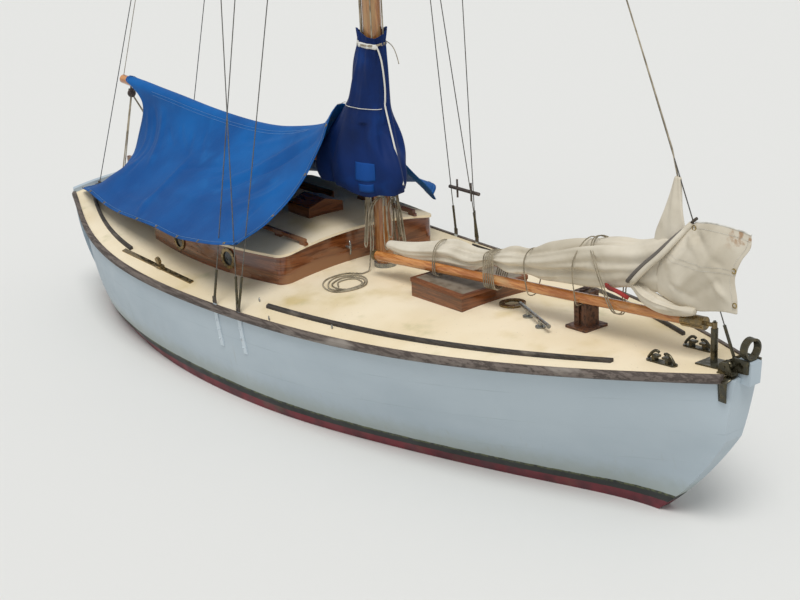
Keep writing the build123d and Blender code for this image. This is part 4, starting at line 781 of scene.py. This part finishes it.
cover = thicken(grid_piece("mast_cover", cover_grid, cover_cloth, None, closed=True), 2)
trim = []
for low, high, start, stop in ((1.525, 1.645, -68, -38), (1.46, 1.51, -64, -42)):
    patch = np.array([[on_cover(z, a, 0.0035) for a in np.arange(start, stop, 2.5)]
                      for z in np.arange(low, high, 0.012)])
    trim.append(thicken(grid_piece("mend", patch, mend_cloth, None), 1.5, 0))
strap = np.array([[on_cover(z - 0.0002 * (a - 160), a, 0.005) for a in np.arange(160, 345, 2.5)]
                  for z in (2.43, 2.441, 2.452, 2.463)])
strap_cloth, tree, shader, where = finish("white_webbing", "#D9D7CF", 0.8)
raised(tree, shader, patches(tree, where, 3, 2), 0.3)
trim.append(thicken(grid_piece("strap", strap, strap_cloth, None), 2, 0))
lacing = [(2.42, -30), (2.38, -16), (2.3, -4), (2.15, 4), (2.05, 2), (2.0, 0), (1.75, 0), (1.5, -2)]
tape_line = through([on_cover(z, a, 0.006) for z, a in lacing], 60)
tape_side = np.array((0.35, 1, 0)) / np.linalg.norm((0.35, 1, 0)) * 0.006
trim.append(thicken(grid_piece("tape", np.stack([tape_line - tape_side, tape_line + tape_side], axis=1),
                               strap_cloth, None), 1.5, 0))
joined(cover, *trim)
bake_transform(cover)
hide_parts("sail_cover")
# Two turns of grey line choke its neck under the strap, and white braid holds the tent's fore tip to it.
neck_turns = [on_cover(2.418 + 0.007 * (k // 12), 30 * k, 0.008) for k in range(28)]
neck_turns += [on_cover(2.43, 90, 0.02), on_cover(2.40, 62, 0.05), on_cover(2.33, 55, 0.075),
               on_cover(2.27, 52, 0.085)]
rope("neck_lashing", neck_turns, 6, laid=False)
cord_finish = cordage("white_braid", "#DCDAD2", "#A8A498")
tip_line = [(-0.262, -0.02, 1.958), (-0.20, -0.05, 1.97)]
tip_line += [on_cover(2.0, a, 0.008) for a in (*range(200, 345, 15), 345)]
rope("tent_tip_lashing", tip_line, 5, cord_finish, laid=False)

# Stowed staysail: heavy cream canvas rolled and lashed along its boom, its clew end flat. Its foot hangs in
# a fold over the deck, and the part still bent to the stay stands up as a flap with a roped head.
sail_cloth = fabric("cream_canvas_sail", "#DCD3C1", "#C1B7A3", 0.85, 0.05, "#AA9F89", 1.8)
tree = sail_cloth.node_tree
shader = tree.nodes["Principled BSDF"]
where = tree.nodes["Texture Coordinate"].outputs["Object"]
x, y, z = node(tree, "ShaderNodeSeparateXYZ", {0: where}).outputs
rust = sums(tree, "MULTIPLY", between(tree, x, 3.18, 3.28), between(tree, z, 1.66, 1.76))
rust = sums(tree, "MULTIPLY", rust, between(tree, patches(tree, where, 45, 4, seed=2.0), 0.48, 0.62))
paint_over(tree, shader, mixed(tree, sums(tree, "MULTIPLY", rust, 0.7),
                               shader.inputs["Base Color"].links[0].from_socket, "#9C6B38"))


def tube_grid(rows, along, across, lobes, seed):
    """A closed tube of cloth with long folds, through rows of x, centre y and z, half width and height."""
    line = through(rows, along)
    grid = np.zeros((along, across, 3))
    for i, (x, cy, cz, wide, tall) in enumerate(line):
        end = min(1, 4 * i / along, 4 * (along - 1 - i) / along)
        for j in range(across):
            a = 2 * math.pi * j / across
            lobe = (0.16 * math.sin(lobes * a + 1.3 * math.sin(2.2 * x + seed) + 2 * x)
                    + 0.10 * math.sin((lobes + 4) * a - 2.6 * x + seed)
                    + 0.05 * math.sin((lobes + 9) * a + 4.1 * x))
            lobe += 0.22 * noise.noise((2.2 * math.cos(a) + seed, 2.2 * math.sin(a), x * 3.1))
            swell = 1 + end * lobe
            grid[i, j] = (x, cy + wide * swell * math.cos(a), cz + tall * swell * math.sin(a))
    tucks = [(-0.011, 0.011, *[grid[i, int(across * (share + 0.05 * math.sin(i / 17 + 9 * share))) % across]
                               for i in range(along // 12, along - along // 10, along // 12)])
             for share in (0.30, 0.38, 0.45, 0.52, 0.60, 0.68, 0.10, 0.20, 0.82, 0.92)]
    return folded(grid, tucks)


def capped(name, grid, material):
    """A closed tube of cloth, its two ends drawn together, with a real thickness."""
    ends = [np.repeat(grid[k].mean(axis=0)[None, None], grid.shape[1], axis=1) for k in (0, -1)]
    piece = grid_piece(name, np.concatenate([ends[0], grid, ends[1]]), material, None, closed=True)
    whole = bmesh.new()
    whole.from_mesh(piece.data)
    bmesh.ops.remove_doubles(whole, verts=whole.verts, dist=0.0002)
    bmesh.ops.recalc_face_normals(whole, faces=whole.faces)
    whole.to_mesh(piece.data)
    whole.free()
    return thicken(piece, 2.5)


# Rows from the mast forward: x, the middle's y and z, half width and half height. The head's rows go up.
stow_rows = [(0.42, -0.15, 1.12, 0.03, 0.028), (0.66, -0.12, 1.12, 0.065, 0.055),
             (1.0, -0.085, 1.17, 0.07, 0.075), (1.25, -0.085, 1.185, 0.065, 0.068),
             (1.42, -0.085, 1.235, 0.045, 0.038), (1.60, -0.08, 1.262, 0.07, 0.072),
             (1.75, -0.075, 1.285, 0.062, 0.07), (1.90, -0.07, 1.315, 0.085, 0.10),
             (2.15, -0.055, 1.375, 0.09, 0.12), (2.40, -0.03, 1.42, 0.095, 0.14),
             (2.55, -0.01, 1.445, 0.09, 0.13), (2.70, 0, 1.47, 0.08, 0.155), (2.85, 0.02, 1.50, 0.06, 0.17),
             (3.0, 0.02, 1.50, 0.022, 0.14)]
foot_rows = [(2.54, -0.06, 1.375, 0.025, 0.025), (2.62, -0.075, 1.34, 0.042, 0.045),
             (2.70, -0.085, 1.305, 0.05, 0.052), (2.80, -0.078, 1.282, 0.052, 0.048),
             (2.92, -0.06, 1.275, 0.04, 0.035), (3.02, -0.045, 1.285, 0.02, 0.02)]
head_rows = [(1.58, 2.795, 0.005, 0.13, 0.030), (1.66, 2.80, 0.004, 0.115, 0.028),
             (1.72, 2.8075, 0.002, 0.092, 0.024), (1.80, 2.82, 0, 0.065, 0.020),
             (1.89, 2.8325, 0, 0.042, 0.016), (2.0, 2.845, 0, 0.020, 0.012)]
stow_grid = tube_grid(stow_rows, 110, 72, lobes=4, seed=0.0)
foot_grid = tube_grid(foot_rows, 30, 30, lobes=3, seed=2.0)
head_line = through(head_rows, 24)
head_grid = np.array([[(cx + wide * math.cos(a) * (1 + 0.05 * math.sin(3 * a + 9 * z)),
                        cy + thin * math.sin(a) * (1 + 0.25 * math.sin(5 * a + 12 * z)), z)
                       for a in np.linspace(0, 2 * math.pi, 30, endpoint=False)]
                      for z, cx, cy, wide, thin in head_line])
# The flat clew end: a sheet between four edges, with a little belly towards starboard.
flap_side = 40
bottom = through([(2.75, -0.05, 1.33), (2.90, -0.045, 1.29), (3.03, -0.035, 1.29), (3.12, -0.03, 1.31),
                  (3.20, -0.02, 1.325), (3.285, -0.015, 1.33)], flap_side)
top = through([(2.985, -0.012, 1.775), (3.095, -0.02, 1.795), (3.20, -0.02, 1.80), (3.305, -0.015, 1.793),
               (3.36, -0.011, 1.783)], flap_side)
left = through([(2.75, -0.05, 1.33), (2.76, -0.065, 1.46), (2.82, -0.06, 1.58), (2.92, -0.04, 1.70),
                (2.985, -0.012, 1.775)], flap_side)
fore = through([(3.285, -0.015, 1.33), (3.285, -0.02, 1.42), (3.275, -0.03, 1.53), (3.305, -0.02, 1.63),
                (3.355, -0.01, 1.71), (3.36, -0.011, 1.783)], flap_side)
flap_grid = np.zeros((flap_side, flap_side, 3))
for i in range(flap_side):
    for j in range(flap_side):
        u, v = j / (flap_side - 1), i / (flap_side - 1)
        ruled = (1 - v) * bottom[j] + v * top[j] + (1 - u) * left[i] + u * fore[i]
        corners = ((1 - u) * (1 - v) * bottom[0] + u * (1 - v) * bottom[-1] + (1 - u) * v * top[0]
                   + u * v * top[-1])
        belly = 16 * u * (1 - u) * v * (1 - v)
        flap_grid[i, j] = ruled - corners + np.array((0, -0.028 * belly - 0.010 * belly * math.sin(
            7 * u + 5 * v), 0))
flap_grid = folded(flap_grid, [
    (0.014, 0.018, (2.95, -0.04, 1.73), (3.05, -0.05, 1.62), (3.16, -0.05, 1.48), (3.25, -0.04, 1.36)),
    (-0.012, 0.018, (2.99, -0.04, 1.75), (3.10, -0.05, 1.66), (3.22, -0.05, 1.57)),
    (-0.010, 0.015, (2.84, -0.06, 1.42), (2.95, -0.07, 1.38), (3.08, -0.06, 1.34)),
    (0.010, 0.022, (2.86, -0.07, 1.36), (2.99, -0.07, 1.48), (3.12, -0.06, 1.60), (3.2, -0.05, 1.72)),
    (-0.010, 0.020, (2.95, -0.06, 1.33), (3.08, -0.07, 1.42), (3.2, -0.06, 1.52)),
    (0.008, 0.020, (2.82, -0.07, 1.5), (2.92, -0.07, 1.58), (3.02, -0.06, 1.7))])
stow = capped("stowed_staysail", stow_grid, sail_cloth)
flap = thicken(grid_piece("flap", flap_grid, sail_cloth, None), 2.5)
bolt_rope = rope("bolt_rope", [tuple(p) for p in top[::6]] + [tuple(top[-1])], 9, cord_finish, None,
                 laid=False)[0]
flap_ways = outward(flap_grid)
starboard = -np.sign(flap_ways[20, 20, 1])
face = flap_grid + 0.003 * starboard * flap_ways
sail_threads = stitched("sail_threads", [face[36, 1:39], face[18, 1:39], face[20, 1:39], face[2:38, 37]],
                        cord_finish)
clew_spots = [flap_grid[36, 3], flap_grid[20, 38], flap_grid[4, 38]]
clew_rings = grown("clew_rings", [p + np.array((0, -0.004, 0)) for p in clew_spots], eyelet_tree,
                   ways=[(0, -1, 0)] * 3, Finish=brass, Radius=0.013, Wire=0.003)
joined(stow, capped("foot", foot_grid, sail_cloth), capped("head", head_grid, sail_cloth), flap, bolt_rope,
       sail_threads, clew_rings)
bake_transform(stow)
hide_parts("staysail_stow")


# Sail lashings: grey rope passed round the rolled sail and its boom, several slack turns at one place, a red
# tie near the tack, two rolled edges of cloth laid along the sail, and a dark snap at its clew.
def lashed(name, at, turns, mm, material, lean=0.0):
    """Rope turns round the stowed sail and its boom; lean slants each turn along the boom."""
    line = through(stow_rows, 200)
    spots = []
    for k in range(turns * 10 + 1):
        a = 36 * (k % 10)
        x = at + 0.0016 * k * (mm / 7) + lean * math.sin(math.radians(a))
        cy, cz, wide, tall = line[int(np.abs(line[:, 0] - x).argmin()), 1:]
        share = (x - 0.32) / 2.8  # from the boom's heel to its tack
        by, bz = -0.19 + 0.19 * share, 1.033 + 0.189 * share
        slack = 0.006 + 0.012 * (0.5 + 0.5 * math.sin(1.9 * k)) * (turns > 3)
        if a <= 190:
            spots.append((x, cy + (wide * 1.24 + slack) * math.cos(math.radians(a)),
                          cz + (tall * 1.20 + slack) * math.sin(math.radians(a))))
        else:
            spots.append((x, by + (0.048 + slack) * math.cos(math.radians(a)),
                          bz + (0.046 + slack) * math.sin(math.radians(a))))
    tie = rope(name, spots, mm, material, None)[0]
    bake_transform(tie)


lashed("inner_lashing", 0.92, 2, 8, rope_finish)
lashed("boom_lashing", 1.385, 6, 8, rope_finish)
lashed("middle_lashing", 1.76, 1, 8, rope_finish)
lashed("outer_lashing", 2.18, 1, 8, rope_finish, 0.05)
lashed("crossed_lashing", 2.36, 2, 8, rope_finish, -0.09)
red_cord_finish = cordage("red_twine", "#9E2F2B", "#5F2A25")
red_tie = rope("red_tie", [(2.39, -0.085, 1.31), (2.43, -0.115, 1.292), (2.49, -0.118, 1.30),
                           (2.55, -0.105, 1.275), (2.57, -0.09, 1.262)], 26, red_cord_finish, None,
               laid=False)[0]
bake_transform(red_tie)
dark_canvas = fabric("grey_stained_canvas", "#77716A", "#5C5752", 0.85, 0.0, None, 1.8)
for name, shift, mm, material in (("grey_fold", 0.0, 26, dark_canvas), ("cream_fold", 0.035, 34, sail_cloth)):
    fold = rope(name, [(2.58 + shift, -0.11, 1.37), (2.66 + shift, -0.115, 1.46), (2.78 + shift, -0.095, 1.57),
                       (2.88 + shift / 2, -0.065, 1.68), (2.965, -0.02, 1.765)], mm, material, None,
                laid=False)[0]
    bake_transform(fold)
dark_cord_finish = cordage("tarred_cord", "#4A4238", "#2B2722")
snap = rope("luff_snap", [(2.955, -0.014, 1.765), (2.975, -0.016, 1.785), (2.995, -0.014, 1.80)], 17,
            dark_cord_finish, None, laid=False)[0]
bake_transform(snap)

# Running rigging: the staysail halyard up to the hounds, and four halyards close along the mast, all of grey
# three-strand rope, here drawn as plain round lines; the boom's sheet falls come down to a block on each
# quarter.
mast_x = 0.166
sail_halyard = rope("staysail_halyard", [(2.845, 0, 1.99), (2.80, 0, 2.15), (0.25, 0, 7.9)], 9,
                    rope_finish, None, laid=False, order=2)[0]
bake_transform(sail_halyard)
for k, a in enumerate((205, 238, 318, 25)):
    a = math.radians(a)
    rope("mast_halyard_%d" % (k + 1), [(mast_x + 0.078 * math.cos(a), 0.078 * math.sin(a), 2.46),
                                       (mast_x + 0.060 * math.cos(a), 0.060 * math.sin(a), 8.2)], 10,
         laid=False)
for side in (-1, 1):
    for step in (0, 1):
        falls = rope("sheet_falls", [(-3.35 + 0.012 * step, 0.012 * side, 1.585),
                                     (-3.185 + 0.03 * step, 0.255 * side, 0.985)], 10, rope_finish, None,
                     laid=False)[0]
        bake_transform(falls)

# Halyard hanks: the tails left hanging in loops from the belaying pins, all round the foot of the mast.
loops, pin_reach, pin_height = [], 0.108, 1.425
for k in range(15):
    turn = math.radians(30 + 60 * k + 9 * (k // 6) + 5 * math.sin(3.1 * k))
    low = 1.03 + 0.06 * math.sin(2.4 * k) + 0.03 * math.sin(5.3 * k)
    reach = 0.128 + 0.018 * math.sin(1.7 * k + 1)
    for r, z, shift in ((pin_reach, pin_height, -0.05), (0.118, 1.33, -0.09), (reach, low + 0.10, -0.13),
                        (reach + 0.01, low + 0.02, -0.10), (reach + 0.012, low, 0.02),
                        (reach + 0.01, low + 0.03, 0.12), (reach, low + 0.12, 0.13), (0.118, 1.34, 0.08)):
        loops.append((mast_x + r * math.cos(turn + shift), r * math.sin(turn + shift), z))
loops.append((mast_x + pin_reach * math.cos(turn), pin_reach * math.sin(turn), pin_height))


hanks, hank_line = rope("halyard_hanks", loops, 9)


# Halyard tail: a free rope that leaves a belaying pin, drops to the deck and lies there in a loose coil of
# three turns and a half.
def deck_height(x, y):
    """The height of the deck straight under a point."""
    return nodes["deck"].ray_cast(Vector((x, y, 3)), Vector((0, 0, -1)))[1].z


coil_x, coil_y, coil_reach, tail_lies = 0.235, -0.395, 0.165, 0.007
tail_points = [(0.166, -0.098, 1.40), (0.167, -0.104, 1.30), (0.172, -0.115, 1.15), (0.18, -0.13, 1.0)]
for x, y in ((0.19, -0.155), (0.20, -0.19), (0.20, -0.225)):
    tail_points.append((x, y, deck_height(x, y) + tail_lies))
for k in range(42):
    turn = k / 12
    reach = coil_reach - 0.026 * turn + 0.006 * math.sin(2.3 * k)
    x = coil_x + 0.012 * turn + reach * math.cos(2 * math.pi * turn + 1.9) * 1.1
    y = coil_y + reach * math.sin(2 * math.pi * turn + 1.9)
    tail_points.append((x, y, deck_height(x, y) + tail_lies))
halyard_tail, tail_line = rope("halyard_tail", tail_points, 11)

# Deck eyes: small galvanised eyebolts through the side deck and foredeck, the same on both sides.
eye_spots = [(x, y * side, deck_height(x, y * side) + 0.011) for side in (-1, 1)
             for x, y in ((-0.093, 0.884), (0.199, 1.0), (0.729, 0.865))]
grown("deck_eyes", eye_spots, eyelet_tree, "hull", ways=[(0.4, 1, 0)] * 6, Finish=zinc, Radius=0.013,
      Wire=0.004)

# Screw heads round the portlight rims, eight bronze ones to a rim, with low flat-topped heads that each face
# the way that the rim does.
head_tree, given, close = node_tree("heads", Radius=0.006, Rise=0.002)
head = node(head_tree, "GeometryNodeMeshCone", {
    "Vertices": 10, "Radius Top": sums(head_tree, "MULTIPLY", given["Radius"], 0.72),
    "Radius Bottom": given["Radius"], "Depth": given["Rise"]}).outputs[0]
way = node(head_tree, "GeometryNodeInputNamedAttribute", {"Name": "way"}, data_type="FLOAT_VECTOR").outputs[0]
close(given["Geometry"], head, node(head_tree, upright, {"Vector": way}, axis="Z").outputs[0])
rim_spots, rim_ways, rim_height, screw_reach, screws = [], [], 0.914, 0.073, 8
for x in (-0.69, -1.34):
    for side in (-1, 1):
        for k in range(screws):
            a = 2 * math.pi * (k + 0.5) / screws
            start = Vector((x + screw_reach * math.cos(a), 1.4 * side, rim_height + screw_reach * math.sin(a)))
            hit, place, face = nodes["portlight_rims"].ray_cast(start, Vector((0, -side, 0)))[:3]
            if hit:
                rim_spots.append(place)
                rim_ways.append(face)
grown("rim_screws", rim_spots, head_tree, "hull", ways=rim_ways, Finish=bronze, Radius=0.0045, Rise=0.003)


# Chainplate bolts: a row of painted heads down each strap. A sweep along the topsides finds the straps at one
# height, and the other heights follow from there.
def strap_at(x, side, z):
    """Whether a chainplate stands at x and z on one side, with the place and the way of its face."""
    return nodes["chainplates"].ray_cast(Vector((x, 1.6 * side, z)), Vector((0, -side, 0)))[:3]


bolt_spots, bolt_ways, strap_gap = [], [], 0.06
for x in np.arange(-0.5, 0.6, 0.004):
    for side in (-1, 1):
        hit, place, face = strap_at(x, side, 0.62)
        if hit and all((place - Vector(spot)).length > strap_gap for spot in bolt_spots):
            bolt_spots.append(tuple(place + Vector((0.008, 0, 0))))
            bolt_ways.append(tuple(face))
for place in list(bolt_spots):
    for z in (0.48, 0.55, 0.69, 0.76, 0.83):
        hit, spot, face = strap_at(place[0], 1 if place[1] > 0 else -1, z)
        if hit:
            bolt_spots.append(tuple(spot))
            bolt_ways.append(tuple(face))
grown("chainplate_bolts", bolt_spots, head_tree, "hull", ways=bolt_ways, Finish=strap_paint, Radius=0.009,
      Rise=0.005)

# Horn cleat: galvanised iron, on the coachroof's fore face to starboard of the mast.
rope("horn_cleat", [(-0.070, -0.127, 0.935), (-0.063, -0.127, 0.96), (-0.063, -0.127, 1.01),
                    (-0.070, -0.127, 1.035)], 13, zinc, laid=False)
rope("horn_cleat_foot", [(-0.118, -0.127, 0.985), (-0.063, -0.127, 0.985)], 17, zinc, laid=False)

# Stem strap: a bronze strap down the stem's starboard side from the stemhead casting, laid on the planking.
strap = []
for t in np.linspace(0, 1, 14):
    x, z, half = 3.300 - 0.012 * t, 1.06 - 0.20 * t, 0.034 - 0.008 * t
    row = [x + w * half for w in (-1, -0.35, 0.35, 1)]
    hits = [nodes[name].ray_cast(Vector((px, -1.5, z)), Vector((0, 1, 0)))[:2]
            for name in ("stem", "hull") for px in row]
    out = min([place.y for hit, place in hits if hit and place.y < -0.005] or [-0.06]) - 0.006
    strap.append([(px, out, z) for px in row])
stem_strap = thicken(grid_piece("stem_strap", np.array(strap), dark_bronze, None), 5, 0)
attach(stem_strap, "hull")

# Fairlead horns: each cast fairlead has a horn at either end that curls in over the rope.
fairlead_x, fairlead_y = 2.88, 0.15
for side in (-1, 1):
    for end in (-1, 1):
        rope("fairlead_horn", [(fairlead_x + off * end, fairlead_y * side, z) for off, z in (
            (0.100, 0.985), (0.075, 1.020), (0.040, 1.046), (0.020, 1.034))], 17, dark_bronze, laid=False)

# Pin rail: a weathered bar across the port shrouds, with two belaying pins.
rope("pin_rail", [(-0.40, 1.06, 1.12), (-0.06, 1.06, 1.12)], 28, old_wood, laid=False)
for x in (-0.31, -0.15):
    rope("rail_pin", [(x, 1.06, 1.05), (x, 1.06, 1.19)], 16, old_wood, laid=False)
